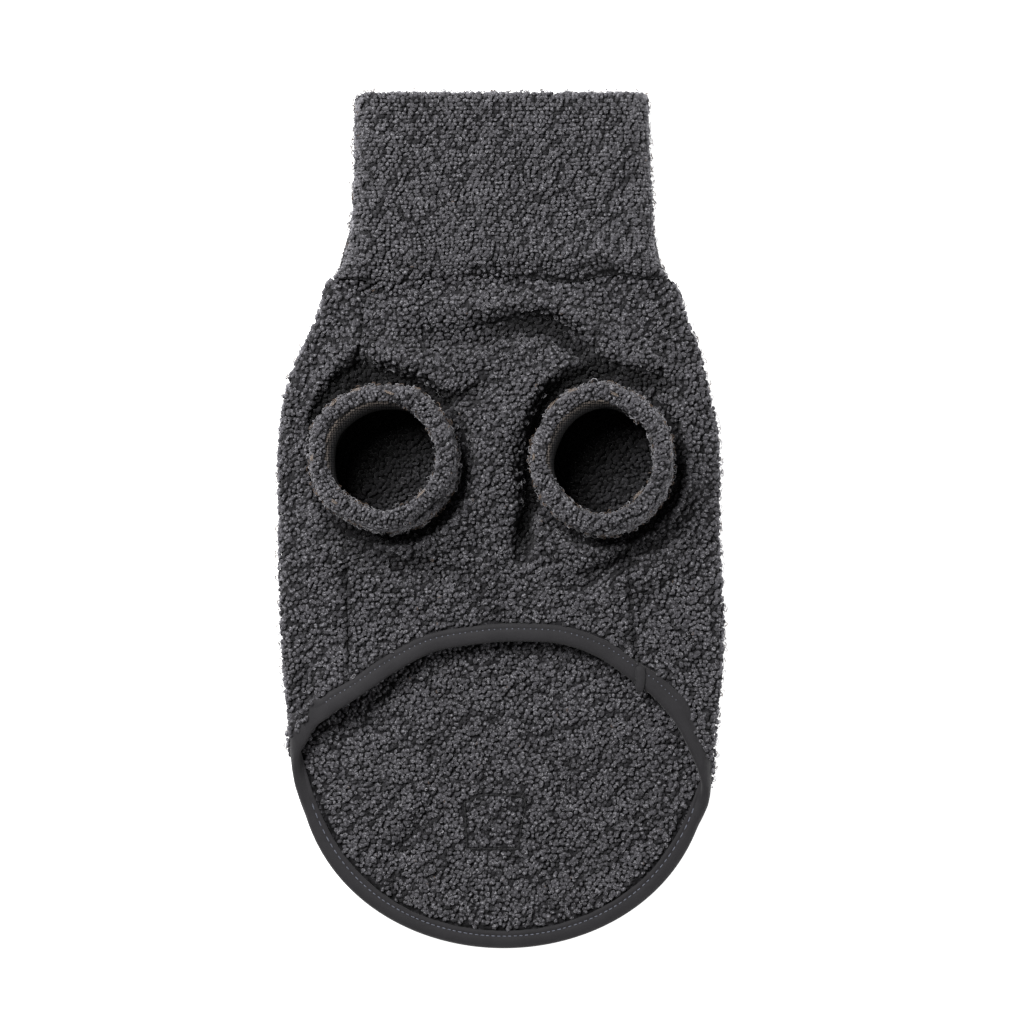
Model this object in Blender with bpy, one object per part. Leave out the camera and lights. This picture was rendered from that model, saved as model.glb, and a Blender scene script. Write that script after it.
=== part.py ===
"""Dog sweater of thick curly fleece, laid flat with its belly side up.

A tube of cloth, pressed flat, lies on the surface. The back is the panel underneath: it wraps round both
sides onto the upper layer and runs on as a rounded tail. The belly closes the upper layer between two long
seams. Two short sleeves stand up from their armholes, a collar of doubled cloth leads out of the neck, and
one tape is folded over the whole hem.

Sizes are in millimetres and become metres where a mesh is made. X runs across the garment, Y up it towards
the collar, and Z up from the surface it lies on. The origin is under the middle of the garment.
"""

import math
from collections import namedtuple

import bpy
import numpy as np

MM = 0.001

# Cloth and how it lies
CLOTH = 4.2  # thickness of the fleece with its pile
SEAM_GAP = 0.3  # between the edges of two pieces sewn together
LAID_HEIGHT = 14.0  # two layers of cloth and the air between them
FOLD_RADIUS = LAID_HEIGHT / 2  # outer radius of the folds along both sides
FOLD_MIDDLE = FOLD_RADIUS - CLOTH / 2  # radius of the same fold at the middle of the cloth
FOLD_GIRTH = math.pi * FOLD_MIDDLE  # cloth used by one side fold

# Half widths of the laid body, left and right of the middle, at each distance up it
BodyWidth = namedtuple("BodyWidth", "y left right")
BODY_WIDTHS = (
    BodyWidth(-214, 104.5, 105.5),
    BodyWidth(-127, 104.5, 105.5),
    BodyWidth(-105, 106.5, 108.0),
    BodyWidth(-65, 110.0, 111.5),
    BodyWidth(-5, 111.5, 109.5),
    BodyWidth(45, 111.0, 108.5),
    BodyWidth(65, 108.0, 104.5),
    BodyWidth(85, 100.5, 99.5),
    BodyWidth(105, 91.5, 92.0),
    BodyWidth(116, 88.8, 88.6),
    BodyWidth(122, 85.5, 84.5),
)

# The long seams of the upper layer: distance up, and how far out each one is
SeamPlace = namedtuple("SeamPlace", "y left right")
LONG_SEAMS = (
    SeamPlace(-110, 77.5, 68.0),
    SeamPlace(-70, 76.0, 67.0),
    SeamPlace(-50, 76.5, 65.0),
    SeamPlace(-5, 77.5, 63.5),
    SeamPlace(35, 75.5, 70.0),
    SeamPlace(75, 71.0, 79.0),
    SeamPlace(100, 69.0, 84.0),
    SeamPlace(124, 66.5, 71.0),
)

# The neck seam on the upper layer; underneath it is straight
NeckPlace = namedtuple("NeckPlace", "x y")
NECK_Y = 121.0
NECK_SEAM = (
    NeckPlace(-80, 118.5),
    NeckPlace(-57, 118.5),
    NeckPlace(-20, 122.5),
    NeckPlace(10, 122.0),
    NeckPlace(37, 119.5),
    NeckPlace(55, 123.0),
    NeckPlace(80, 123.5),
)

# The hem: half an ellipse round the tail, and a scoop across the upper layer
TAIL_MIDDLE_X = 1.4
TAIL_MIDDLE_Y = -127.0
TAIL_HALF_WIDTH = 103.5
TAIL_DEPTH = 88.0
HemPlace = namedtuple("HemPlace", "x y")
SCOOP = (
    HemPlace(-99.3, -116.0),
    HemPlace(-94.0, -105.6),
    HemPlace(-85.5, -97.8),
    HemPlace(-70.0, -87.5),
    HemPlace(-53.0, -76.0),
    HemPlace(-35.0, -66.5),
    HemPlace(-13.5, -62.0),
    HemPlace(9.5, -60.5),
    HemPlace(32.5, -62.5),
    HemPlace(51.0, -70.0),
    HemPlace(63.0, -78.5),
    HemPlace(78.5, -91.0),
    HemPlace(89.0, -105.0),
    HemPlace(98.8, -126.0),
)

TAIL_STEP = 0.01  # over which the tail's slope is measured where it meets the side fold
SCOOP_STEP = 0.3  # how far past the flat stretch the scoop is read there
SCOOP_SLOPE = 6.0  # over which its slope is measured

# The cloth's edge inside the tape, and the rows of points that follow the hem
EDGE_THICKNESS = 2.2  # the cloth where the tape presses it
TAPE_THICKNESS = 4.6  # over both faces of the tape
TAPE_WIDTH = 9.0
TAPE_WALL = 0.9
EDGE_SINK = (TAPE_THICKNESS - EDGE_THICKNESS) / 2
EDGE_IN = 2.1  # from the tape's fold to the cloth's edge
SLOT_IN = 1.4  # from the tape's fold to the end of the slot that holds the cloth
HEM_ROWS = (EDGE_IN, TAPE_WIDTH * 0.6, TAPE_WIDTH + 0.4, 14.0)
NECK_ROWS = (9.0, 4.0, 0.0)  # the last rows below the neck seam

# Counts of steps
TAIL_STEPS = 20
FOLD_STEPS = 8
STRIP_STEPS = 4
BELLY_STEPS = 36
BODY_STEPS = 30
ROUND_STEPS = 32
TAIL_EASE = 1.17  # as an angle: how much closer the back's columns are towards its sides
HEM_BLEND = 0.6  # share of the body's length over which the columns turn from the hem's places to even ones
HEM_STEP = 0.004  # places on each side between which the hem's direction is measured
HEM_FOLLOW = 5.0  # distance up over which the columns' own direction is measured

# Sleeves: the armhole's place, the rim's place and height, and the rim's half widths
Sleeve = namedtuple("Sleeve", "side x y rim_x rim_y rim_z reach_x reach_y")
SLEEVES = (
    Sleeve("left", -54.0, 27.5, -59.4, 32.4, 46.0, 36.2, 35.4),
    Sleeve("right", 52.5, 26.5, 48.4, 31.2, 45.0, 34.4, 36.2),
)
ARMHOLE_RADIUS = 33.0
CUTTER_LOW = 6.5
CUTTER_HIGH = 48.0

# The cloth stands up in a ring round each sleeve, steeper inside, with a deep foot towards the lower right
RING_RISE = 7.0
RING_RADIUS = 46.0
RING_INSIDE = 5.5
RING_OUTSIDE = 9.5
RING_SHIFT_X = -2.5
RING_SHIFT_Y = 3.2
FOOT_ANGLE = math.radians(-50)
FOOT_DEPTH = 8.0
FOOT_IN = 6.9
FOOT_SPREAD = 3.0

# A sleeve's wall, from its lower edge up the outside, over the rim and down inside: the share of the
# height, and the radius as a share of the rim's. The cuff is turned in, so it is double above the middle.
SleevePoint = namedtuple("SleevePoint", "rise radius")
SLEEVE_WALL = (
    SleevePoint(0.22, 0.917),
    SleevePoint(0.30, 0.950),
    SleevePoint(0.42, 0.985),
    SleevePoint(0.60, 1.000),
    SleevePoint(0.80, 1.000),
    SleevePoint(0.92, 0.975),
    SleevePoint(0.985, 0.930),
    SleevePoint(1.00, 0.870),
    SleevePoint(0.985, 0.800),
    SleevePoint(0.93, 0.758),
    SleevePoint(0.78, 0.742),
    SleevePoint(0.56, 0.735),
    SleevePoint(0.50, 0.770),
    SleevePoint(0.51, 0.870),
    SleevePoint(0.34, 0.868),
)

# Broad mounds of the upper layer, and those that raise the hem
Mound = namedtuple("Mound", "x y spread_x spread_y height")
MOUNDS = (
    Mound(0.0, 36.0, 84.0, 52.0, 9.5),
    Mound(-12.0, 80.0, 34.0, 10.0, 1.5),
    Mound(24.0, 110.0, 34.0, 10.0, 2.0),
)
HEM_MOUNDS = (
    Mound(-72.0, -92.0, 28.0, 26.0, 8.0),
    Mound(10.0, -60.0, 50.0, 26.0, 2.5),
)

# Creases of the upper layer: ridges, and troughs with heights below zero, each along a smooth curve
CreasePoint = namedtuple("CreasePoint", "x y spread height")
CHEST_ROLL = (
    CreasePoint(-66, 99, 7.0, 0.0),
    CreasePoint(-40, 103, 7.0, 4.0),
    CreasePoint(-10, 106, 7.0, 6.0),
    CreasePoint(16, 107, 7.0, 7.5),
    CreasePoint(42, 99, 7.5, 7.5),
    CreasePoint(62, 87, 7.5, 6.0),
    CreasePoint(84, 79, 7.0, 4.0),
    CreasePoint(98, 74, 6.0, 0.0),
)
CHEST_FOLD = (
    CreasePoint(-56, 89, 6.0, 0.0),
    CreasePoint(-40, 89, 6.0, -3.0),
    CreasePoint(-24, 90, 6.0, -4.0),
    CreasePoint(-8, 93, 5.5, -6.0),
    CreasePoint(10, 97, 6.0, -9.5),
    CreasePoint(24, 96, 6.0, -9.5),
    CreasePoint(38, 86, 5.0, -8.0),
    CreasePoint(50, 77, 4.5, -7.0),
    CreasePoint(64, 71, 5.5, -9.0),
    CreasePoint(78, 68, 5.5, -8.0),
    CreasePoint(94, 60, 4.0, 0.0),
)
LEFT_CHEST_RIDGE = (
    CreasePoint(-98, 66, 6.0, 0.0),
    CreasePoint(-84, 82, 7.0, 4.0),
    CreasePoint(-66, 88, 7.0, 5.0),
    CreasePoint(-44, 82, 7.0, 4.0),
    CreasePoint(-24, 78, 7.0, 3.0),
    CreasePoint(-4, 80, 6.0, 0.0),
)
LEFT_SLEEVE_TOP = (
    CreasePoint(-98, 36, 3.5, 0.0),
    CreasePoint(-95, 46, 4.5, -8.0),
    CreasePoint(-90, 54.5, 6.0, -11.0),
    CreasePoint(-83, 62.5, 7.0, -13.0),
    CreasePoint(-75, 68.5, 7.5, -14.0),
    CreasePoint(-66, 71, 6.5, -13.0),
    CreasePoint(-56, 70.5, 5.0, -11.0),
    CreasePoint(-46, 68, 4.5, -10.0),
    CreasePoint(-37, 63.5, 4.5, -10.0),
    CreasePoint(-26, 60, 4.5, -8.0),
    CreasePoint(-12, 63, 4.0, -5.0),
    CreasePoint(-2, 68, 3.0, 0.0),
)
LEFT_SEAM_TUCK = (
    CreasePoint(-70, 75, 4.0, -8.0),
    CreasePoint(-69.5, 82, 3.5, -4.0),
    CreasePoint(-68, 90, 3.0, 0.0),
)
MIDDLE_RIDGE = (
    CreasePoint(2, 74, 7.0, 0.0),
    CreasePoint(-1, 58, 8.0, 3.5),
    CreasePoint(-2, 30, 8.0, 3.5),
    CreasePoint(-2, 0, 8.0, 4.5),
    CreasePoint(-4, -20, 8.0, 4.0),
    CreasePoint(-6, -36, 8.0, 0.0),
)
MIDDLE_FOLD = (
    CreasePoint(60, 74, 5.0, 0.0),
    CreasePoint(48, 73, 6.0, -9.0),
    CreasePoint(37, 69, 7.5, -12.0),
    CreasePoint(27, 60, 7.5, -13.0),
    CreasePoint(20, 46, 5.5, -13.0),
    CreasePoint(17, 30, 4.6, -12.0),
    CreasePoint(15, 14, 4.6, -12.0),
    CreasePoint(12.5, 0, 4.8, -11.0),
    CreasePoint(10.5, -12, 4.5, -9.0),
    CreasePoint(10, -24, 4.0, 0.0),
)
LEFT_SWEEP = (
    CreasePoint(-94, 4, 4.0, 0.0),
    CreasePoint(-84, -5, 5.0, -5.0),
    CreasePoint(-72, -12, 5.5, -6.0),
    CreasePoint(-58, -20, 6.0, -4.5),
    CreasePoint(-40, -25, 6.0, -4.0),
    CreasePoint(-18, -29, 5.0, -3.0),
    CreasePoint(-4, -36, 4.0, 0.0),
)
LEFT_SWEEP_RIDGE = (
    CreasePoint(-92, -12, 6.0, 0.0),
    CreasePoint(-74, -22, 7.0, 3.5),
    CreasePoint(-50, -33, 7.5, 4.0),
    CreasePoint(-28, -40, 7.0, 2.5),
    CreasePoint(-10, -46, 6.0, 0.0),
)
RIGHT_SWEEP = (
    CreasePoint(28, -36, 4.0, 0.0),
    CreasePoint(38, -31, 4.2, -4.0),
    CreasePoint(52, -24, 4.6, -6.0),
    CreasePoint(64, -17, 4.6, -6.5),
    CreasePoint(76, -11, 4.6, -6.0),
    CreasePoint(88, -3, 4.6, -6.0),
    CreasePoint(96, 7, 4.4, -4.0),
    CreasePoint(102, 18, 4.0, 0.0),
)
RIGHT_SWEEP_RIDGE = (
    CreasePoint(34, -46, 6.0, 0.0),
    CreasePoint(50, -38, 7.0, 4.0),
    CreasePoint(66, -30, 7.0, 5.0),
    CreasePoint(82, -22, 7.0, 4.0),
    CreasePoint(100, -6, 6.0, 0.0),
)
BELLY_DIP = (
    CreasePoint(-24, -34, 6.0, 0.0),
    CreasePoint(-10, -42, 7.0, -3.0),
    CreasePoint(4, -50, 7.0, -5.0),
    CreasePoint(22, -54, 6.0, 0.0),
)
LEFT_SHOULDER = (
    CreasePoint(-88, 66, 7.0, 0.0),
    CreasePoint(-97, 44, 7.0, 2.5),
    CreasePoint(-103, 14, 6.0, 0.0),
)
RIGHT_SHOULDER = (
    CreasePoint(88, 68, 7.0, 0.0),
    CreasePoint(97, 46, 7.0, 2.5),
    CreasePoint(102, 20, 6.0, 0.0),
)
CREASES = (
    CHEST_ROLL,
    CHEST_FOLD,
    LEFT_CHEST_RIDGE,
    LEFT_SLEEVE_TOP,
    LEFT_SEAM_TUCK,
    MIDDLE_RIDGE,
    MIDDLE_FOLD,
    LEFT_SWEEP,
    LEFT_SWEEP_RIDGE,
    RIGHT_SWEEP,
    RIGHT_SWEEP_RIDGE,
    BELLY_DIP,
    LEFT_SHOULDER,
    RIGHT_SHOULDER,
)
CREASE_STEPS = 4  # straight steps from one row of a crease to the next
TROUGH_POWER = 1.25  # above 1 a trough has a flatter floor and steeper sides
LIFT_SOFTNESS = 0.4  # rounds the edge where a trough reaches the flat height
FADE_AT_SIDE = 16.0  # over which the lift grows from nothing beside a side fold, the hem and the neck seam
FADE_AT_HEM = 18.0
FADE_AT_NECK = 12.0

# Collar: distance up it from the neck seam as a share, half widths, height over both walls, and the
# thickness of one wall, which is two layers of cloth
CollarWidth = namedtuple("CollarWidth", "share left right height wall")
COLLAR_TOP = 212.6
COLLAR = (
    CollarWidth(0.00, 85.0, 84.0, 16.0, 5.2),
    CollarWidth(0.05, 80.6, 81.0, 19.0, 7.0),
    CollarWidth(0.16, 77.0, 77.4, 21.6, 8.0),
    CollarWidth(0.40, 74.0, 75.6, 22.0, 8.0),
    CollarWidth(0.75, 73.2, 74.0, 22.0, 8.0),
    CollarWidth(1.00, 72.6, 73.6, 21.6, 8.0),
)
COLLAR_SLOT = 0.1  # air between the collar's two layers, as a share of its wall
COLLAR_STEPS = 7
PUFF_START = 11.0  # steepness with which the collar's puffs begin above the neck seam
COLLAR_ROUND = 4.0  # radius of the fold along the collar's upper edge
COLLAR_MOUNDS = (
    Mound(-14.0, 133.0, 44.0, 8.0, 2.6),
    Mound(42.0, 132.0, 30.0, 7.5, 4.2),
    Mound(-66.0, 206.0, 10.0, 12.0, 1.2),
    Mound(66.0, 206.0, 10.0, 12.0, 1.5),
    Mound(10.0, 176.0, 45.0, 14.0, 0.9),
)

# The tape's section: distance in from its fold, and depth from its outer face
TAPE_SECTION = (
    (TAPE_WIDTH, 0.25),
    (TAPE_WIDTH - 0.5, 0.0),
    (TAPE_WIDTH * 0.6, 0.0),
    (1.3, 0.0),
    (0.35, TAPE_THICKNESS * 0.2),
    (0.0, TAPE_THICKNESS * 0.5),
    (0.35, TAPE_THICKNESS * 0.8),
    (1.3, TAPE_THICKNESS),
    (TAPE_WIDTH * 0.6, TAPE_THICKNESS),
    (TAPE_WIDTH, TAPE_THICKNESS),
    (TAPE_WIDTH, TAPE_THICKNESS - TAPE_WALL),
    (TAPE_WIDTH * 0.6, TAPE_THICKNESS - TAPE_WALL),
    (SLOT_IN, TAPE_THICKNESS - TAPE_WALL),
    (SLOT_IN, TAPE_WALL),
    (TAPE_WIDTH * 0.6, TAPE_WALL),
    (TAPE_WIDTH, TAPE_WALL),
)

# Colours, as linear values, and roughness
Finish = namedtuple("Finish", "colour roughness")
FLEECE = Finish((0.055, 0.052, 0.057), 0.95)
COLLAR_FLEECE = Finish((0.066, 0.063, 0.069), 0.95)
TAPE = Finish((0.037, 0.036, 0.039), 0.7)


def clear_scene():
    for thing in list(bpy.data.objects):
        bpy.data.objects.remove(thing, do_unlink=True)


def eased(share):
    """0 to 1 with level ends."""
    share = np.clip(share, 0.0, 1.0)
    return share * share * (3.0 - 2.0 * share)


def through(rows, at, column, known="y"):
    """A smooth curve through one column of a table: cubic pieces that share their slopes where they meet.
    Without a known column, the rows count 0, 1, 2 and so on."""
    knots = np.arange(len(rows), dtype=float)
    if known:
        knots = np.array([getattr(row, known) for row in rows], float)
    values = np.array([getattr(row, column) for row in rows], float)
    slopes = np.gradient(values, knots)
    at = np.clip(at, knots[0], knots[-1])
    piece = np.clip(np.searchsorted(knots, at, side="right") - 1, 0, len(knots) - 2)
    span = knots[piece + 1] - knots[piece]
    t = (at - knots[piece]) / span
    start = (1 + 2 * t) * (1 - t) ** 2 * values[piece] + t * (1 - t) ** 2 * span * slopes[piece]
    end = t * t * (3 - 2 * t) * values[piece + 1] - t * t * (1 - t) * span * slopes[piece + 1]
    return start + end


def by_side(rows, side, at, known="y"):
    """The left or the right column of a table, for side -1 or 1."""
    right = through(rows, at, "right", known)
    left = through(rows, at, "left", known)
    return np.where(side > 0, right, left)


def flat_length(side, y):
    """Half width of the flat stretch between the side folds."""
    return by_side(BODY_WIDTHS, side, y) - FOLD_RADIUS


def scoop_y(x):
    return through(SCOOP, x, "y", "x")


def crease_height(x, y, crease):
    """A ridge or a trough along a smooth curve through the crease's rows. Across it the height falls as a bell,
    which has a flatter floor and steeper sides in a trough. Spread and height go evenly from row to row."""
    at = np.linspace(0, len(crease) - 1, CREASE_STEPS * (len(crease) - 1) + 1)
    line_x, line_y, spread, height = (through(crease, at, name, None) for name in CreasePoint._fields)
    far = 3 * spread.max()
    near = (x > line_x.min() - far) & (x < line_x.max() + far)
    near = near & (y > line_y.min() - far) & (y < line_y.max() + far)
    near_x, near_y = x[near], y[near]
    closest = np.full(near_x.shape, 1e9)
    raised = np.zeros(near_x.shape)
    for k in range(len(at) - 1):
        step_x, step_y = line_x[k + 1] - line_x[k], line_y[k + 1] - line_y[k]
        share = ((near_x - line_x[k]) * step_x + (near_y - line_y[k]) * step_y) / (step_x**2 + step_y**2)
        share = np.clip(share, 0, 1)
        apart = np.hypot(near_x - line_x[k] - share * step_x, near_y - line_y[k] - share * step_y)
        here = height[k] + share * (height[k + 1] - height[k])
        wide = spread[k] + share * (spread[k + 1] - spread[k])
        power = np.where(here > 0, 1.0, TROUGH_POWER)
        raised = np.where(apart < closest, here * np.exp(-(((apart / wide) ** 2) ** power)), raised)
        closest = np.minimum(closest, apart)
    total = np.zeros(x.shape)
    total[near] = raised
    return total


def mound_height(x, y, mound):
    return mound.height * np.exp(-(((x - mound.x) / mound.spread_x) ** 2) - ((y - mound.y) / mound.spread_y) ** 2)


def ring_place(x, y, sleeve):
    """How far outside the crest of a sleeve's ring a point lies, and how deep the ring's foot is there."""
    from_x, from_y = x - sleeve.x - RING_SHIFT_X, y - sleeve.y - RING_SHIFT_Y
    apart = np.hypot(from_x, from_y) - RING_RADIUS
    turned = (1 + np.cos(np.arctan2(from_y, from_x) - FOOT_ANGLE)) / 2
    return apart, FOOT_DEPTH * turned * np.exp(-(((apart + FOOT_IN) / FOOT_SPREAD) ** 2))


def lift(x, y):
    """How far the upper layer stands above its flat height: mounds, a ring of raised cloth round each sleeve,
    and creases. It is never below the flat height, and fades out at the side folds and the neck seam, and at
    the hem down to the hem's own mounds."""
    x, y = np.broadcast_arrays(np.asarray(x, float), np.asarray(y, float))
    height = sum(mound_height(x, y, mound) for mound in MOUNDS)
    for sleeve in SLEEVES:
        apart, foot = ring_place(x, y, sleeve)
        spread = np.where(apart < 0, RING_INSIDE, RING_OUTSIDE)
        height = height + RING_RISE * np.exp(-((apart / spread) ** 2)) - foot
    height = height + sum(crease_height(x, y, crease) for crease in CREASES)
    height = (height + np.sqrt(height * height + LIFT_SOFTNESS)) / 2
    side = np.where(x > 0, 1.0, -1.0)
    from_fold = flat_length(side, y) - np.abs(x)
    slope = scoop_y(x + 1) - scoop_y(x - 1)
    from_hem = (y - scoop_y(x)) / np.hypot(1, slope / 2) - TAPE_WIDTH - 1
    from_neck = through(NECK_SEAM, x, "y", "x") - y
    hem_rise = sum(mound_height(x, y, mound) for mound in HEM_MOUNDS)
    height = height * eased(from_hem / FADE_AT_HEM) * eased(from_neck / FADE_AT_NECK)
    return (height + hem_rise) * eased(from_fold / FADE_AT_SIDE)


def body_point(side, turn, y, depth):
    """A point of the laid body. turn is the distance along the cloth from the outermost line of the side
    fold, negative underneath and positive on the upper layer. depth is measured in from the outer face."""
    angle = np.clip(turn / FOLD_MIDDLE, -math.pi / 2, math.pi / 2)
    reach = FOLD_RADIUS - depth
    inward = np.maximum(np.abs(turn) - FOLD_GIRTH / 2, 0.0)
    x = side * (flat_length(side, y) + reach * np.cos(angle) - inward)
    z = FOLD_RADIUS + reach * np.sin(angle)
    z = z + np.where(turn > FOLD_GIRTH / 2, lift(x, y), 0.0)
    return np.stack([x, y, z], axis=-1)


def turn_of_x(side, x, y):
    """Where on the upper layer a point at x lies, as a turn."""
    return FOLD_GIRTH / 2 + flat_length(side, y) - side * x


def tail_y(x):
    return TAIL_MIDDLE_Y - TAIL_DEPTH * np.sqrt(np.maximum(1 - ((x - TAIL_MIDDLE_X) / TAIL_HALF_WIDTH) ** 2, 0))


def hem_on_fold(side, share):
    """The hem round a side fold, from underneath (share 0) to the upper layer (1): a cubic that meets the
    tail's curve and the scoop with their own slopes."""
    flat = flat_length(side, TAIL_MIDDLE_Y)
    low, high = tail_y(side * flat), scoop_y(side * (flat + SCOOP_STEP))
    low_slope = (low - tail_y(side * (flat - TAIL_STEP))) / TAIL_STEP
    high_slope = (scoop_y(side * (flat - SCOOP_SLOPE)) - high) / SCOOP_SLOPE
    start = (1 + 2 * share) * (1 - share) ** 2 * low + share * (1 - share) ** 2 * FOLD_GIRTH * low_slope
    end = share**2 * (3 - 2 * share) * high - share**2 * (1 - share) * FOLD_GIRTH * high_slope
    return start + end


def hem_point(side, place):
    """The hem's turn and distance up. place runs from 0, the middle of the back, through 1 to 2 round the
    side fold, to 3, the middle of the belly."""
    flat = flat_length(side, TAIL_MIDDLE_Y)
    widest = np.arcsin((flat - side * TAIL_MIDDLE_X) / TAIL_HALF_WIDTH)
    start = np.arcsin(-side * TAIL_MIDDLE_X / TAIL_HALF_WIDTH)
    under_x = side * TAIL_MIDDLE_X + TAIL_HALF_WIDTH * np.sin(start + (widest - start) * place)
    under_turn = under_x - flat - FOLD_GIRTH / 2
    fold_share = np.clip(place - 1, 0, 1)
    fold_turn = FOLD_GIRTH * (fold_share - 0.5)
    upper_x = side * flat * (3 - place)
    upper_y = scoop_y(upper_x)
    upper_turn = turn_of_x(side, upper_x, upper_y)
    turn = np.where(place <= 1, under_turn, np.where(place <= 2, fold_turn, upper_turn))
    y = np.where(place <= 1, tail_y(side * under_x), np.where(place <= 2, hem_on_fold(side, fold_share), upper_y))
    return turn, y


def seam_x(side, y):
    return side * by_side(LONG_SEAMS, side, y)


def seam_place(side):
    """Where the long seam meets the hem, as a place along it."""
    flat = flat_length(side, TAIL_MIDDLE_Y)
    y = TAIL_MIDDLE_Y
    for _ in range(20):
        y = scoop_y(seam_x(side, y))
    return 3 - float(side * seam_x(side, y) / flat)


Columns = namedtuple("Columns", "side place share zone")
UNDER, ROUND, STRIP, BELLY = range(4)


def back_columns():
    """Columns of the back, from the right seam under the garment to the left seam."""
    sides, places, shares, zones = [], [], [], []

    def add(side, place, share, zone):
        sides.append(side)
        places.append(place)
        shares.append(share)
        zones.append(zone)

    def half(side):
        top = seam_place(side)
        for step in range(STRIP_STEPS, 0, -1):
            add(side, 2 + (top - 2) * step / STRIP_STEPS, step / STRIP_STEPS, STRIP)
        for step in range(FOLD_STEPS, -1, -1):
            add(side, 1 + step / FOLD_STEPS, step / FOLD_STEPS, ROUND)
        for step in range(TAIL_STEPS // 2 - 1, 0, -1):
            add(side, 2 * step / TAIL_STEPS, 2 * step / TAIL_STEPS, UNDER)

    half(1.0)
    add(1.0, 0.0, 0.0, UNDER)
    right = len(sides)
    half(-1.0)
    for column in (sides, places, shares, zones):
        column[right:] = column[right:][::-1]
    return Columns(*(np.array(column)[:, None] for column in (sides, places, shares, zones)))


def belly_columns():
    """Columns of the belly, from the left seam to the right seam."""
    share = np.linspace(0, 1, BELLY_STEPS + 1)[:, None]
    left, right = seam_place(-1.0), seam_place(1.0)
    flat_left, flat_right = flat_length(-1.0, TAIL_MIDDLE_Y), flat_length(1.0, TAIL_MIDDLE_Y)
    x = -flat_left * (3 - left) * (1 - share) + flat_right * (3 - right) * share
    side = np.where(x > 0, 1.0, -1.0)
    place = 3 - np.abs(x) / np.where(x > 0, flat_right, flat_left)
    return Columns(side, place, share, np.full(share.shape, BELLY))


def natural_turn(columns, y):
    """Where each column lies at a distance up the body, clear of the hem."""
    flat = flat_length(columns.side, y)
    ease = np.sin(columns.share * TAIL_EASE) / math.sin(TAIL_EASE)
    under = -FOLD_GIRTH / 2 - flat * (1 - ease)
    around = FOLD_GIRTH * (columns.share - 0.5)
    seam = np.abs(seam_x(columns.side, y)) + SEAM_GAP / 2
    strip = FOLD_GIRTH / 2 + columns.share * (flat - seam)
    left, right = seam_x(-1.0, y) + SEAM_GAP / 2, seam_x(1.0, y) - SEAM_GAP / 2
    belly = turn_of_x(columns.side, left * (1 - columns.share) + right * columns.share, y)
    return np.select([columns.zone == UNDER, columns.zone == ROUND, columns.zone == STRIP], [under, around, strip], belly)


def hem_direction(columns, turn, y):
    """The way from the hem into the cloth, in turn and distance up, as long as one step straight in. It is
    square to the hem round the tail, and runs up the garment at the side folds and on the upper layer."""
    before_turn, before_y = hem_point(columns.side, columns.place - HEM_STEP)
    after_turn, after_y = hem_point(columns.side, columns.place + HEM_STEP)
    along = np.hypot(after_turn - before_turn, after_y - before_y)
    square_turn, square_y = -(after_y - before_y) / along, (after_turn - before_turn) / along
    follow = natural_turn(columns, y + HEM_FOLLOW) - natural_turn(columns, y)
    length = np.hypot(follow, HEM_FOLLOW)
    weight = np.where(columns.zone == UNDER, eased(2 * columns.place - 1), 1.0)
    way_turn = square_turn * (1 - weight) + follow / length * weight
    way_y = square_y * (1 - weight) + HEM_FOLLOW / length * weight
    straight_in = way_turn * square_turn + way_y * square_y
    return way_turn / straight_in, way_y / straight_in


def neck_share(columns):
    """Where each column meets the neck seam: 0 to 1 underneath, to 2 round the fold, to 3 on the upper layer."""
    turn = natural_turn(columns, NECK_Y)
    flat = flat_length(columns.side, NECK_Y)
    under = (turn + FOLD_GIRTH / 2 + flat) / flat
    around = 1.5 + turn / FOLD_GIRTH
    upper = 2 + (turn - FOLD_GIRTH / 2) / flat
    return np.where(turn < -FOLD_GIRTH / 2, under, np.where(turn > FOLD_GIRTH / 2, upper, around))


def neck_y(side, share):
    """The neck seam's distance up: straight underneath, and following the table above."""
    x = side * flat_length(side, NECK_Y) * np.clip(3 - share, -1, 1)
    upper = through(NECK_SEAM, x, "y", "x")
    return NECK_Y + (upper - NECK_Y) * eased((share - 2) * 3)


def panel_grid(columns, edge_shift):
    """The rows and columns of a body panel as turn, distance up and distance in from the hem's fold."""
    turn, y = hem_point(columns.side, columns.place)
    turn = turn + edge_shift
    way_turn, way_y = hem_direction(columns, turn, y)
    near = np.array(HEM_ROWS)[None, :]
    near_turn, near_y = turn + way_turn * near, y + way_y * near
    start_turn, start_y = near_turn[:, -1:], near_y[:, -1:]
    top = neck_y(columns.side, neck_share(columns)) - SEAM_GAP / 2
    share = np.linspace(0, 1, BODY_STEPS + 1)[None, 1:]
    far_y = start_y + (top - NECK_ROWS[0] - start_y) * share
    neck = top - np.array(NECK_ROWS[1:])[None, :]
    far_y = np.concatenate([far_y, neck], axis=1)
    gone = eased((far_y - start_y) / (HEM_BLEND * (top - start_y)))
    natural = natural_turn(columns, far_y)
    far_turn = natural + (start_turn - natural_turn(columns, start_y)) * (1 - gone)
    return np.concatenate([near_turn, far_turn], axis=1), np.concatenate([near_y, far_y], axis=1)


def panel_faces(columns, edge_shift):
    """The outer and the inner face of a panel. The cloth is pressed thin where the tape holds it."""
    turn, y = panel_grid(columns, edge_shift)
    pressed = np.zeros(turn.shape[1])
    pressed[: len(HEM_ROWS) - 1] = 1.0
    outer = EDGE_SINK * pressed
    inner = CLOTH + (EDGE_SINK + EDGE_THICKNESS - CLOTH) * pressed
    side = np.broadcast_to(columns.side, turn.shape)
    return body_point(side, turn, y, outer[None, :]), body_point(side, turn, y, inner[None, :])


def seam_shift(columns):
    """Half the seam's gap, in turn, for the columns along the long seams."""
    if columns.zone[0, 0] == BELLY:
        shift = np.zeros(columns.side.shape)
        shift[0] = shift[-1] = SEAM_GAP / 2
        return shift
    return np.where((columns.zone == STRIP) & (columns.share == 1), -SEAM_GAP / 2, 0.0)


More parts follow.
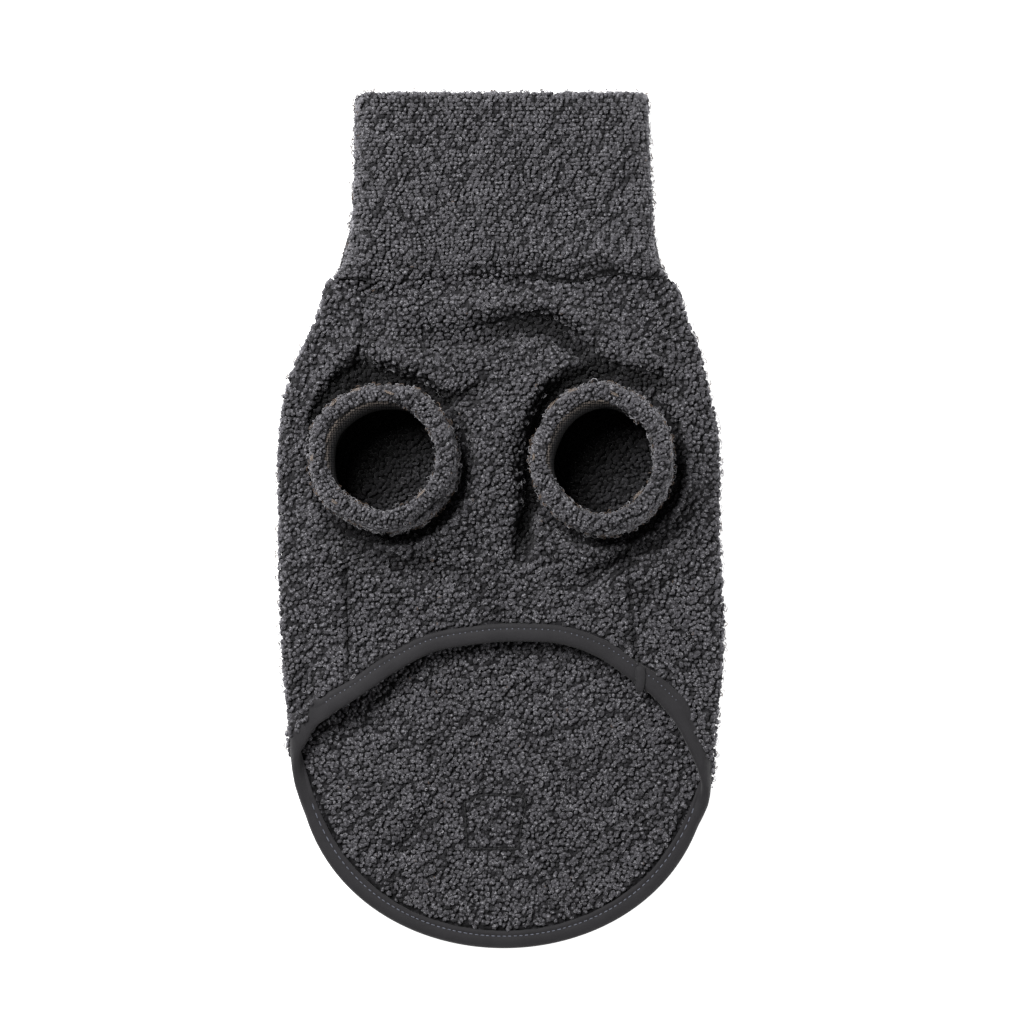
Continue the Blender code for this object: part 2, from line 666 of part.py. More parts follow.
def finish_material(name, finish):
    material = bpy.data.materials.new(name)
    material.use_nodes = True
    shader = material.node_tree.nodes["Principled BSDF"]
    shader.inputs["Base Color"].default_value = (*finish.colour, 1.0)
    shader.inputs["Roughness"].default_value = finish.roughness
    shader.inputs["Metallic"].default_value = 0.0
    material.diffuse_color = (*finish.colour, 1.0)
    return material


def volume_of(points, faces):
    """Signed volume of a closed surface of four-sided or three-sided faces."""
    total = 0.0
    for face in faces:
        corners = points[list(face)]
        for second in range(1, len(face) - 1):
            total += np.dot(corners[0], np.cross(corners[second], corners[second + 1]))
    return total / 6


def new_solid(name, points, faces, finish):
    """An object from points in millimetres, with its faces turned outwards."""
    points = np.asarray(points, float).reshape(-1, 3)
    if volume_of(points, faces) < 0:
        faces = [face[::-1] for face in faces]
    mesh = bpy.data.meshes.new(name)
    mesh.from_pydata((points * MM).tolist(), [], [tuple(face) for face in faces])
    mesh.validate()
    mesh.shade_smooth()
    mesh.set_sharp_from_angle(angle=math.radians(50))
    solid = bpy.data.objects.new(name, mesh)
    bpy.context.scene.collection.objects.link(solid)
    if finish:
        mesh.materials.append(finish_material(name, finish))
    return solid


def grid_faces(rows, columns, first, wrap):
    """Four-sided faces over a grid of points, closed round its columns where wrap is set."""
    faces = []
    for i in range(rows - 1):
        for j in range(columns if wrap else columns - 1):
            after = (j + 1) % columns
            a, b = first + i * columns + j, first + i * columns + after
            faces.append((a, b, b + columns, a + columns))
    return faces


def sheet_solid(name, outer, inner, finish):
    """A closed wall between two grids of points of the same shape."""
    rows, columns = outer.shape[:2]
    count = rows * columns
    faces = grid_faces(rows, columns, 0, False)
    faces += [face[::-1] for face in grid_faces(rows, columns, count, False)]
    border = [j for j in range(columns)]
    border += [i * columns + columns - 1 for i in range(1, rows)]
    border += [(rows - 1) * columns + j for j in range(columns - 2, -1, -1)]
    border += [i * columns for i in range(rows - 2, 0, -1)]
    for a, b in zip(border, border[1:] + border[:1]):
        faces.append((a, a + count, b + count, b))
    return new_solid(name, np.concatenate([outer.reshape(-1, 3), inner.reshape(-1, 3)]), faces, finish)


def ring_solid(name, points, finish, closed):
    """A solid whose section, one row of points for each step along it, is closed round its columns. A
    closed ring joins its ends, and an open one has a flat cap at both."""
    steps, columns = points.shape[:2]
    if closed:
        points = np.concatenate([points, points[:1]])
        faces = grid_faces(steps + 1, columns, 0, True)
        last = steps * columns
        faces = [tuple(p - last if p >= last else p for p in face) for face in faces]
        return new_solid(name, points[:-1], faces, finish)
    faces = grid_faces(steps, columns, 0, True)
    faces.append(tuple(range(columns))[::-1])
    faces.append(tuple((steps - 1) * columns + j for j in range(columns)))
    return new_solid(name, points, faces, finish)


def cut(solid, cutter):
    modifier = solid.modifiers.new(cutter.name, "BOOLEAN")
    modifier.operation = "DIFFERENCE"
    modifier.solver = "EXACT"
    modifier.object = cutter


def ring_angles():
    return np.arange(ROUND_STEPS) * 2 * math.pi / ROUND_STEPS


def armhole_cutter(sleeve):
    """A round cutter along the sleeve's leaning axis, through the upper layer only."""
    angles = ring_angles()
    heights = np.array([CUTTER_LOW, CUTTER_HIGH])[:, None]
    radius = ARMHOLE_RADIUS + SEAM_GAP
    x, y = sleeve_axis(sleeve, heights)
    points = np.stack([x + radius * np.cos(angles), y + radius * np.sin(angles), heights + 0 * angles], axis=-1)
    cutter = ring_solid("armhole_" + sleeve.side, points, None, closed=False)
    cutter.hide_render = True
    cutter.display_type = "WIRE"
    return cutter


def sleeve_axis(sleeve, z):
    """The middle of a sleeve at a height: it leans from the armhole to the rim."""
    share = (z - LAID_HEIGHT) / (sleeve.rim_z - LAID_HEIGHT)
    return sleeve.x + (sleeve.rim_x - sleeve.x) * share, sleeve.y + (sleeve.rim_y - sleeve.y) * share


def make_sleeve(sleeve):
    """A leaning tube: its lower edge stands in the armhole at the cloth's own height, and its wall follows
    the table up to the rounded rim and down inside the turned-in cuff."""
    angles = ring_angles()[:, None]
    edge_x = sleeve.x + ARMHOLE_RADIUS * np.cos(angles)
    edge_y = sleeve.y + ARMHOLE_RADIUS * np.sin(angles)
    edge_z = LAID_HEIGHT - CLOTH + lift(edge_x, edge_y)
    rises = [0.0] + [point.rise for point in SLEEVE_WALL] + [0.0]
    shares = [None] + [point.radius for point in SLEEVE_WALL] + [None]
    columns = []
    for rise, share in zip(rises, shares):
        z = edge_z + (sleeve.rim_z - edge_z) * rise
        middle_x, middle_y = sleeve_axis(sleeve, z)
        if share is None:
            reach_x = reach_y = ARMHOLE_RADIUS - (CLOTH if columns else 0.0)
        elif share == SLEEVE_WALL[0].radius:
            reach_x = reach_y = ARMHOLE_RADIUS
        else:
            reach_x, reach_y = sleeve.reach_x * share, sleeve.reach_y * share
        column = np.stack([middle_x + reach_x * np.cos(angles), middle_y + reach_y * np.sin(angles), z], axis=-1)
        columns.append(column)
    return ring_solid("sleeve_" + sleeve.side, np.concatenate(columns, axis=1), FLEECE, closed=True)


def make_body():
    cutters = [armhole_cutter(sleeve) for sleeve in SLEEVES]
    for name, columns in (("back", back_columns()), ("belly", belly_columns())):
        outer, inner = panel_faces(columns, seam_shift(columns))
        panel = sheet_solid(name, outer, inner, FLEECE)
        for cutter in cutters:
            cut(panel, cutter)


def loop_columns():
    """All the columns round the garment: the belly from right to left, then the back from left to right."""
    belly, back = belly_columns(), back_columns()
    flip = [field[::-1] for field in belly]
    joined = Columns(*(np.concatenate([first, second[::-1]]) for first, second in zip(flip, back)))
    shift = np.concatenate([seam_shift(belly)[::-1], seam_shift(back)[::-1]])
    return joined, shift


def make_tape():
    """The hem tape: its section follows the hem from the belly's side of the right seam all the way round."""
    columns, shift = loop_columns()
    turn, y = hem_point(columns.side, columns.place)
    turn = turn + shift
    way_turn, way_y = hem_direction(columns, turn, y)
    into = np.array([row[0] for row in TAPE_SECTION])[None, :]
    depth = np.array([row[1] for row in TAPE_SECTION])[None, :]
    side = np.broadcast_to(columns.side, (len(turn), into.shape[1]))
    points = body_point(side, turn + way_turn * into, y + way_y * into, depth)
    return ring_solid("hem_binding", points, TAPE, closed=False)


def collar_point(side, share, along, depth):
    """A point of the collar. share runs round it as neck_share does, along runs from the neck seam to the
    upper edge in millimetres, and depth is in from the outer face as a share of the wall."""
    start = neck_y(side, share) + SEAM_GAP / 2
    y = start + (COLLAR_TOP - start) * along
    height = through(COLLAR, along, "height", "share")
    wall = through(COLLAR, along, "wall", "share")
    radius = height / 2
    flat = by_side(COLLAR, side, along, "share") - radius
    angle = (np.clip(share, 1, 2) - 1.5) * math.pi
    reach = radius - depth * wall
    x = np.select([share < 1, share > 2], [share * flat, (3 - share) * flat], flat)
    x = side * (x + reach * np.cos(angle) * ((share >= 1) & (share <= 2)))
    z = radius + reach * np.sin(angle)
    puff = sum(mound_height(x, y, mound) for mound in COLLAR_MOUNDS)
    z = z + puff * eased(share - 1) * eased((share - 1.5) * 2) * eased(along * PUFF_START)
    return np.stack([x, y, z], axis=-1)


def collar_section():
    """The collar's section as distance along it and depth: up its outer layer, over the fold at the upper
    edge, down the inner layer, and up and down the slot of air between the two."""
    length = COLLAR_TOP - NECK_Y
    last = 1 - COLLAR_ROUND / length
    up = [0.0, 0.03, 0.08] + list(np.linspace(0.16, last, COLLAR_STEPS - 2))
    turn = [math.radians(angle) for angle in (30, 60, 90, 120, 150)]
    section = [(along, 0.0) for along in up]
    section += [(last + math.sin(a) * COLLAR_ROUND / length, 0.5 - 0.5 * math.cos(a)) for a in turn]
    section += [(along, 1.0) for along in up[::-1]]
    inner, outer = 0.5 + COLLAR_SLOT / 2, 0.5 - COLLAR_SLOT / 2
    section += [(along, inner) for along in (0.0, 0.08, 0.4, last)]
    section += [(along, outer) for along in (last, 0.4, 0.08, 0.0)]
    return section


def make_collar():
    columns, _ = loop_columns()
    share = neck_share(columns)
    keep = np.ones(len(share), bool)
    keep[np.flatnonzero(np.abs(np.diff(share[:, 0])) < 0.02)] = False
    side, share = columns.side[keep], share[keep]
    section = collar_section()
    along = np.array([row[0] for row in section])[None, :]
    depth = np.array([row[1] for row in section])[None, :]
    side, share, along, depth = np.broadcast_arrays(side, share, along, depth)
    return ring_solid("collar", collar_point(side, share, along, depth), COLLAR_FLEECE, closed=True)


clear_scene()
make_body()
for one in SLEEVES:
    make_sleeve(one)
make_collar()
make_tape()
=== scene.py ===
"""Looks of the dog sweater: thick curly fleece laid flat with its belly side up, lit softly from
the upper left.

The cloth's shapes are the part's own formulas and tables, repeated here with finer points and with
the pile raised on them. Sizes are in millimetres and become metres where a mesh is made. X runs
across the garment, Y up it towards the collar, and Z up from the surface it lies on.
"""

import math
from collections import namedtuple
from itertools import product

import bpy
import numpy as np
from mathutils import Matrix, Vector
from mathutils.geometry import delaunay_2d_cdt


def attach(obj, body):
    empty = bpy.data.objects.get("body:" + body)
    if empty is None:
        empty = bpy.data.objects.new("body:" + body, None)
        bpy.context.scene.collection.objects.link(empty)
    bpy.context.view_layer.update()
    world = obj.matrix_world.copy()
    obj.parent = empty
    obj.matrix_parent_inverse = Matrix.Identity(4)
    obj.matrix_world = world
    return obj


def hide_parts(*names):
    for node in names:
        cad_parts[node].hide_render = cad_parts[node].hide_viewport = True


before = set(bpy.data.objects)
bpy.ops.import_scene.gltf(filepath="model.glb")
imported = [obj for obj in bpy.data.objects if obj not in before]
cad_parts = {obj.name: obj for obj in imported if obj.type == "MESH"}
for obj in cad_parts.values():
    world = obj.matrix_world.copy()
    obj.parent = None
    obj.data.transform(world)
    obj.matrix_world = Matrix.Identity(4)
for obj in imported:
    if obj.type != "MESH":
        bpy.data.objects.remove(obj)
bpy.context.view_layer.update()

MM = 0.001


def table(kind, *rows):
    """The rows of a table as named tuples of one kind."""
    return tuple(kind(*row) for row in rows)


Range = namedtuple("Range", "least most")

# Cloth and how it lies
CLOTH = 4.2
SEAM_GAP = 0.3
LAID_HEIGHT = 14.0
FOLD_RADIUS = LAID_HEIGHT / 2
FOLD_MIDDLE = FOLD_RADIUS - CLOTH / 2
FOLD_GIRTH = math.pi * FOLD_MIDDLE

BodyWidth = namedtuple("BodyWidth", "y left right")
BODY_WIDTHS = table(
    BodyWidth,
    (-214, 104.5, 105.5), (-127, 104.5, 105.5), (-105, 106.5, 108.0), (-65, 110.0, 111.5),
    (-5, 111.5, 109.5), (45, 111.0, 108.5), (65, 108.0, 104.5), (85, 100.5, 99.5),
    (105, 91.5, 92.0), (116, 88.8, 88.6), (122, 85.5, 84.5),
)

SeamPlace = namedtuple("SeamPlace", "y left right")
LONG_SEAMS = table(
    SeamPlace,
    (-110, 77.5, 68.0), (-70, 76.0, 67.0), (-50, 76.5, 65.0), (-5, 77.5, 63.5), (35, 75.5, 70.0),
    (75, 71.0, 79.0), (100, 69.0, 84.0), (124, 66.5, 71.0),
)

NeckPlace = namedtuple("NeckPlace", "x y")
NECK_Y = 121.0
NECK_SEAM = table(
    NeckPlace,
    (-80, 118.5), (-57, 118.5), (-20, 122.5), (10, 122.0), (37, 119.5), (55, 123.0), (80, 123.5),
)

TAIL_MIDDLE_X = 1.4
TAIL_MIDDLE_Y = -127.0
TAIL_HALF_WIDTH = 103.5
TAIL_DEPTH = 88.0
HemPlace = namedtuple("HemPlace", "x y")
SCOOP = table(
    HemPlace,
    (-99.3, -116.0), (-94.0, -105.6), (-85.5, -97.8), (-70.0, -87.5), (-53.0, -76.0),
    (-35.0, -66.5), (-13.5, -62.0), (9.5, -60.5), (32.5, -62.5), (51.0, -70.0), (63.0, -78.5),
    (78.5, -91.0), (89.0, -105.0), (98.8, -126.0),
)

# The tape, and the cloth's edge inside it
TAPE_THICKNESS = 4.6
TAPE_WIDTH = 9.0
TAPE_WALL = 0.9
EDGE_THICKNESS = 2.2
EDGE_SINK = (TAPE_THICKNESS - EDGE_THICKNESS) / 2
EDGE_IN = 2.6

Sleeve = namedtuple("Sleeve", "side x y rim_x rim_y rim_z reach_x reach_y")
SLEEVES = table(
    Sleeve,
    ("left", -54.0, 27.5, -59.4, 32.4, 46.0, 36.2, 35.4),
    ("right", 52.5, 26.5, 48.4, 31.2, 45.0, 34.4, 36.2),
)
ARMHOLE_RADIUS = 33.0

# Cloth raised in a ring round each sleeve, steeper inside, with a deep foot towards the lower
# right
RING_RISE = 7.0
RING_RADIUS = 46.0
RING_INSIDE = 5.5
RING_OUTSIDE = 9.5
RING_SHIFT_X = -2.5
RING_SHIFT_Y = 3.2
FOOT_ANGLE = math.radians(-50)
FOOT_DEPTH = 8.0
FOOT_IN = 6.9
FOOT_SPREAD = 3.0

SleevePoint = namedtuple("SleevePoint", "rise radius")
SLEEVE_WALL = table(
    SleevePoint,
    (0.00, 0.917), (0.22, 0.917), (0.30, 0.950), (0.42, 0.985), (0.60, 1.000), (0.80, 1.000),
    (0.92, 0.975), (0.985, 0.930), (1.00, 0.870), (0.985, 0.800), (0.93, 0.758), (0.78, 0.742),
    (0.56, 0.735), (0.50, 0.770), (0.51, 0.870), (0.34, 0.868), (0.00, 0.800),
)

# Where threads of the cuff's sewing show on its rim
CuffThread = namedtuple("CuffThread", "x y to_x to_y")
CUFF_THREAD_COUNT = 3
THREADS_APART = 0.42
THREAD_JITTER = Range(-0.12, 0.12)
THREAD_CUT = Range(0.0, 0.25)
THREAD_NEAR = 1.2
THREAD_UP = 1.1
THREAD_RADIUS = 0.13
CUFF_THREADS = table(
    CuffThread,
    (-73.5, 63.0, -67.5, 64.3), (-83.5, 55.0, -79.5, 59.5), (-57.0, 63.2, -51.5, 61.0),
    (-92.0, 32.5, -92.2, 28.5), (-41.5, 10.5, -36.0, 16.0), (-82.5, 10.0, -79.0, 7.5),
    (32.0, 62.5, 37.5, 64.2), (22.5, 53.5, 26.5, 58.5), (52.5, 62.8, 58.0, 60.5),
    (16.2, 33.0, 16.0, 28.5), (63.5, 9.5, 69.5, 15.0),
)
CUFF_SAG = 1.4
# Sleeve nubs: smaller, 12 percent lighter, sunk a little, and with about a third of the painted
# side light
SLEEVE_PILE = {"size": 0.86, "dark": -0.12, "low": 0.15, "pale": 0.35}
BARE_ANGLE = math.radians(135)

Mound = namedtuple("Mound", "x y spread_x spread_y height")
MOUNDS = table(
    Mound,
    (0.0, 36.0, 84.0, 52.0, 9.5), (-12.0, 80.0, 34.0, 10.0, 1.5), (24.0, 110.0, 34.0, 10.0, 2.0),
)
HEM_MOUNDS = table(
    Mound,
    (-72.0, -92.0, 28.0, 26.0, 8.0), (10.0, -60.0, 50.0, 26.0, 2.5),
)
CreasePoint = namedtuple("CreasePoint", "x y spread height")
CHEST_ROLL = table(
    CreasePoint,
    (-66, 99, 7.0, 0.0), (-40, 103, 7.0, 4.0), (-10, 106, 7.0, 6.0), (16, 107, 7.0, 7.5),
    (42, 99, 7.5, 7.5), (62, 87, 7.5, 6.0), (84, 79, 7.0, 4.0), (98, 74, 6.0, 0.0),
)
CHEST_FOLD = table(
    CreasePoint,
    (-56, 89, 6.0, 0.0), (-40, 89, 6.0, -3.0), (-24, 90, 6.0, -4.0), (-8, 93, 5.5, -6.0),
    (10, 97, 6.0, -9.5), (24, 96, 6.0, -9.5), (38, 86, 5.0, -8.0), (50, 77, 4.5, -7.0),
    (64, 71, 5.5, -9.0), (78, 68, 5.5, -8.0), (94, 60, 4.0, 0.0),
)
LEFT_CHEST_RIDGE = table(
    CreasePoint,
    (-98, 66, 6.0, 0.0), (-84, 82, 7.0, 4.0), (-66, 88, 7.0, 5.0), (-44, 82, 7.0, 4.0),
    (-24, 78, 7.0, 3.0), (-4, 80, 6.0, 0.0),
)
LEFT_SLEEVE_TOP = table(
    CreasePoint,
    (-98, 36, 3.5, 0.0), (-95, 46, 4.5, -8.0), (-90, 54.5, 6.0, -11.0), (-83, 62.5, 7.0, -13.0),
    (-75, 68.5, 7.5, -14.0), (-66, 71, 6.5, -13.0), (-56, 70.5, 5.0, -11.0), (-46, 68, 4.5, -10.0),
    (-37, 63.5, 4.5, -10.0), (-26, 60, 4.5, -8.0), (-12, 63, 4.0, -5.0), (-2, 68, 3.0, 0.0),
)
LEFT_SEAM_TUCK = table(
    CreasePoint,
    (-70, 75, 4.0, -8.0), (-69.5, 82, 3.5, -4.0), (-68, 90, 3.0, 0.0),
)
MIDDLE_RIDGE = table(
    CreasePoint,
    (2, 74, 7.0, 0.0), (-1, 58, 8.0, 3.5), (-2, 30, 8.0, 3.5), (-2, 0, 8.0, 4.5),
    (-4, -20, 8.0, 4.0), (-6, -36, 8.0, 0.0),
)
MIDDLE_FOLD = table(
    CreasePoint,
    (60, 74, 5.0, 0.0), (48, 73, 6.0, -9.0), (37, 69, 7.5, -12.0), (27, 60, 7.5, -13.0),
    (20, 46, 5.5, -13.0), (17, 30, 4.6, -12.0), (15, 14, 4.6, -12.0), (12.5, 0, 4.8, -11.0),
    (10.5, -12, 4.5, -9.0), (10, -24, 4.0, 0.0),
)
LEFT_SWEEP = table(
    CreasePoint,
    (-94, 4, 4.0, 0.0), (-84, -5, 5.0, -5.0), (-72, -12, 5.5, -6.0), (-58, -20, 6.0, -4.5),
    (-40, -25, 6.0, -4.0), (-18, -29, 5.0, -3.0), (-4, -36, 4.0, 0.0),
)
LEFT_SWEEP_RIDGE = table(
    CreasePoint,
    (-92, -12, 6.0, 0.0), (-74, -22, 7.0, 3.5), (-50, -33, 7.5, 4.0), (-28, -40, 7.0, 2.5),
    (-10, -46, 6.0, 0.0),
)
RIGHT_SWEEP = table(
    CreasePoint,
    (28, -36, 4.0, 0.0), (38, -31, 4.2, -4.0), (52, -24, 4.6, -6.0), (64, -17, 4.6, -6.5),
    (76, -11, 4.6, -6.0), (88, -3, 4.6, -6.0), (96, 7, 4.4, -4.0), (102, 18, 4.0, 0.0),
)
RIGHT_SWEEP_RIDGE = table(
    CreasePoint,
    (34, -46, 6.0, 0.0), (50, -38, 7.0, 4.0), (66, -30, 7.0, 5.0), (82, -22, 7.0, 4.0),
    (100, -6, 6.0, 0.0),
)
BELLY_DIP = table(
    CreasePoint,
    (-24, -34, 6.0, 0.0), (-10, -42, 7.0, -3.0), (4, -50, 7.0, -5.0), (22, -54, 6.0, 0.0),
)
LEFT_SHOULDER = table(
    CreasePoint,
    (-88, 66, 7.0, 0.0), (-97, 44, 7.0, 2.5), (-103, 14, 6.0, 0.0),
)
RIGHT_SHOULDER = table(
    CreasePoint,
    (88, 68, 7.0, 0.0), (97, 46, 7.0, 2.5), (102, 20, 6.0, 0.0),
)
CREASES = (
    CHEST_ROLL,
    CHEST_FOLD,
    LEFT_CHEST_RIDGE,
    LEFT_SLEEVE_TOP,
    LEFT_SEAM_TUCK,
    MIDDLE_RIDGE,
    MIDDLE_FOLD,
    LEFT_SWEEP,
    LEFT_SWEEP_RIDGE,
    RIGHT_SWEEP,
    RIGHT_SWEEP_RIDGE,
    BELLY_DIP,
    LEFT_SHOULDER,
    RIGHT_SHOULDER,
)
CREASE_STEPS = 4
CREASE_REACH = 3
TROUGH_POWER = 1.25
LIFT_SOFTNESS = 0.4

# Over how far the lift fades out beside the tape, the neck seam and the side folds
CLEAR_OF_TAPE = 1.0
FADE_AT_HEM = 18.0
FADE_AT_NECK = 12.0
FADE_AT_FOLD = 16.0

CollarWidth = namedtuple("CollarWidth", "share left right height wall")
COLLAR_TOP = 212.6
COLLAR = table(
    CollarWidth,
    (0.00, 85.0, 84.0, 16.0, 5.2), (0.05, 80.6, 81.0, 19.0, 7.0), (0.16, 77.0, 77.4, 21.6, 8.0),
    (0.40, 74.0, 75.6, 22.0, 8.0), (0.75, 73.2, 74.0, 22.0, 8.0), (1.00, 72.6, 73.6, 21.6, 8.0),
)
COLLAR_ROUND = 4.0
NECK_LAP = 0.9
PUFF_FROM_SEAM = 11
COLLAR_MOUNDS = table(
    Mound,
    (-14.0, 133.0, 44.0, 8.0, 2.6), (42.0, 132.0, 30.0, 7.5, 4.2), (-66.0, 206.0, 10.0, 12.0, 1.2),
    (66.0, 206.0, 10.0, 12.0, 1.5), (10.0, 176.0, 45.0, 14.0, 0.9),
)

# Pile: round nubs of curled fibre, a step apart, that stand out of a lower ground, and loose loops
# on them
NUB_STEP = 2.28
NUB_JITTER = 0.33
JITTER_DOWN = 0.8
NUB_WARP = 1.2
WARP_SIZE = 7.0
NUB_WIDTH = Range(1.10, 1.75)
NUB_LONGER = Range(0.8, 1.3)
NUB_TOP = Range(0.1, 0.9)
NUB_POINT = Range(0.85, 1.05)
NUB_UNEVEN = Range(0.8, 1.18)
NUB_SHADE = Range(0.8, 1.08)
NUB_SIDES = 5
NubRing = namedtuple("NubRing", "polar pile")
# Each ring's polar angle and its share of the nub's colour value: less towards the foot, as painted
# shade between the nubs
NUB_RINGS = table(NubRing, (0.95, 0.91), (1.85, 0.52))
SWELL = 0.5
SWELL_SIZE = 6.0
SWELL_SEED = 7
LOWEST = 0.04
GROUND = 1.5
GROUND_SWELL = 0.8
GROUND_SEED = 1
SEAM_GROOVE = 0.9
SEAM_DEPTH = 0.8

# Painted light: nubs get paler where the cloth turns down at its sides, up to the full share once
# its normal's upward part has fallen by the given amount. Below the side folds most of that goes
# again.
PAINTED_SIDE_LIGHT = 0.6
SIDE_FROM = 0.85
SIDE_OVER = 0.7
UNDER_FROM = 0.25
UNDER_OVER = 0.6
UNDER_LOSS = 0.85

# Loose loops of fibre: how many there are for each nub, how many more and how much longer, further
# out and, with painted light, lighter they are where the cloth turns sideways, and the sizes and
# angles that they are drawn from
CURLS_EACH = 0.36
CURLS_IN_HOLES = 0.2
SIDEWAYS = 0.5
FRINGE = 7.0
FRINGE_LONGER = 0.8
FRINGE_OUT = 0.7
FRINGE_PAINTED_LIGHT = 0.3
CURL_STEPS = 4
CURL_APART = 0.8
CURL_TILT = Range(0.1, 1.2)
CURL_SIZE = Range(0.45, 0.95)
CURL_START = Range(-0.9, 0.5)
CURL_SWEEP = Range(2.6, 4.9)
CURL_SUNK = Range(0.1, 0.8)
CURL_THICK = 0.17
CURL_THICKNESS = Range(0.75, 1.2)
CURL_END = 0.6
CURL_SHADE = Range(0.1, 1)
DARKER = 1.5
BROWN_FROM = 0.93

# Crevices: long narrow gaps between rows of nubs, which slant up to the right, and how much painted
# shade darkens the crevices and the folds
CREVICE_SLANT = math.radians(38)
CREVICE_LONG = 15.0
CREVICE_WIDE = 4.5
CREVICE_TALL = 9.0
CREVICE_REACH = 0.85
CREVICE_SINK = 0.9
CREVICE_SEED = 31
CREVICE_PAINTED_SHADE = 0.72
FOLD_PAINTED_SHADE = 0.86
FOLD_FULL = 12.0
TAIL_FOLD_SHARE = 2.0
# The ground's colour value between nubs: low, as painted shade
GROUND_PILE = 0.28

# Grooves along what is sewn: their width, how much painted shade darkens their nubs, and from what
# strength on they are bare
GROOVE_WIDE = 1.3
GROOVE_PAINTED_SHADE = 0.7
GROOVE_BARE = 1.05

# Painted shadow on the back's inner face under the sleeves: it is darkest where the leaning sleeves
# hide it, towards the upper left
HOLE_PAINTED_SHADOW = 0.60
HOLE_PAINTED_SHADOW_MOST = 0.98
HOLE_FROM = -22.0
HOLE_OVER = 40.0
HOLE_HALF_HEIGHT = 42.0

# Spacing of the points of the cloth itself
FINE = 2.0
COARSE = 3.2
HIDDEN = 5.0
HEM_STEP = 0.8
SEAM_STEP = 0.5
SQUARE_STEP = 0.3
CORNER_GAP = 0.4
BELLY_CORNER_GAP = 0.3


def eased(share):
    """0 to 1 with level ends: three times the square less twice the cube."""
    share = np.clip(share, 0.0, 1.0)
    return share * share * (3.0 - 2.0 * share)


def through(rows, at, column, known="y"):
    """A smooth curve through one column of a table: cubic pieces that share their slopes where
    they meet. Without a known column, the rows count 0, 1, 2 and so on."""
    knots = np.arange(len(rows), dtype=float)
    if known:
        knots = np.array([getattr(row, known) for row in rows], float)
    values = np.array([getattr(row, column) for row in rows], float)
    slopes = np.gradient(values, knots)
    at = np.clip(at, knots[0], knots[-1])
    piece = np.clip(np.searchsorted(knots, at, side="right") - 1, 0, len(knots) - 2)
    span = knots[piece + 1] - knots[piece]
    t = (at - knots[piece]) / span
    start = (1 + 2 * t) * (1 - t) ** 2 * values[piece] + t * (1 - t) ** 2 * span * slopes[piece]
    end = t * t * (3 - 2 * t) * values[piece + 1] - t * t * (1 - t) * span * slopes[piece + 1]
    return start + end


def by_side(rows, side, at, known="y"):
    right = through(rows, at, "right", known)
    left = through(rows, at, "left", known)
    return np.where(side > 0, right, left)


def flat_length(side, y):
    """Half width of the flat stretch between the side folds."""
    return by_side(BODY_WIDTHS, side, y) - FOLD_RADIUS


def scoop_y(x):
    return through(SCOOP, x, "y", "x")


def crease_height(x, y, crease):
    """A ridge or a trough along a smooth curve through the crease's rows. Across it the height
    falls as a bell, which has a flatter floor and steeper sides in a trough. Spread and height go
    evenly from row to row."""
    at = np.linspace(0, len(crease) - 1, CREASE_STEPS * (len(crease) - 1) + 1)
    columns = [through(crease, at, name, None) for name in CreasePoint._fields]
    line_x, line_y, spread, height = columns
    far = CREASE_REACH * spread.max()
    near = (x > line_x.min() - far) & (x < line_x.max() + far)
    near = near & (y > line_y.min() - far) & (y < line_y.max() + far)
    near_x, near_y = x[near], y[near]
    closest = np.full(near_x.shape, 1e9)
    raised = np.zeros(near_x.shape)
    for k in range(len(at) - 1):
        step_x, step_y = line_x[k + 1] - line_x[k], line_y[k + 1] - line_y[k]
        share = (near_x - line_x[k]) * step_x + (near_y - line_y[k]) * step_y
        share = np.clip(share / (step_x**2 + step_y**2), 0, 1)
        apart = np.hypot(near_x - line_x[k] - share * step_x, near_y - line_y[k] - share * step_y)
        here = height[k] + share * (height[k + 1] - height[k])
        wide = spread[k] + share * (spread[k + 1] - spread[k])
        power = np.where(here > 0, 1.0, TROUGH_POWER)
        raised = np.where(apart < closest, here * np.exp(-(((apart / wide) ** 2) ** power)), raised)
        closest = np.minimum(closest, apart)
    total = np.zeros(x.shape)
    total[near] = raised
    return total


def mound_height(x, y, mound):
    """A bell over its middle, with its own spread each way."""
    across, up = (x - mound.x) / mound.spread_x, (y - mound.y) / mound.spread_y
    return mound.height * np.exp(-(across**2) - up**2)


def ring_place(x, y, sleeve):
    """How far outside the crest of a sleeve's ring a point lies, and how deep the ring's foot is
    there."""
    from_x, from_y = x - sleeve.x - RING_SHIFT_X, y - sleeve.y - RING_SHIFT_Y
    apart = np.hypot(from_x, from_y) - RING_RADIUS
    turned = (1 + np.cos(np.arctan2(from_y, from_x) - FOOT_ANGLE)) / 2
    return apart, FOOT_DEPTH * turned * np.exp(-(((apart + FOOT_IN) / FOOT_SPREAD) ** 2))


def lift(x, y):
    """How far the upper layer stands above its flat height: mounds, a ring of raised cloth round
    each sleeve, and creases. It is never below the flat height, and fades out at the side folds
    and the neck seam, and at the hem down to the hem's own mounds."""
    x, y = np.broadcast_arrays(np.asarray(x, float), np.asarray(y, float))
    height = sum(mound_height(x, y, mound) for mound in MOUNDS)
    for sleeve in SLEEVES:
        apart, foot = ring_place(x, y, sleeve)
        spread = np.where(apart < 0, RING_INSIDE, RING_OUTSIDE)
        height = height + RING_RISE * np.exp(-((apart / spread) ** 2)) - foot
    height = height + sum(crease_height(x, y, crease) for crease in CREASES)
    height = (height + np.sqrt(height * height + LIFT_SOFTNESS)) / 2
    side = np.where(x > 0, 1.0, -1.0)
    from_fold = flat_length(side, y) - np.abs(x)
    slope = scoop_y(x + 1) - scoop_y(x - 1)
    from_hem = (y - scoop_y(x)) / np.hypot(1, slope / 2) - TAPE_WIDTH - CLEAR_OF_TAPE
    from_neck = through(NECK_SEAM, x, "y", "x") - y
    hem_rise = sum(mound_height(x, y, mound) for mound in HEM_MOUNDS)
    height = height * eased(from_hem / FADE_AT_HEM) * eased(from_neck / FADE_AT_NECK)
    return (height + hem_rise) * eased(from_fold / FADE_AT_FOLD)


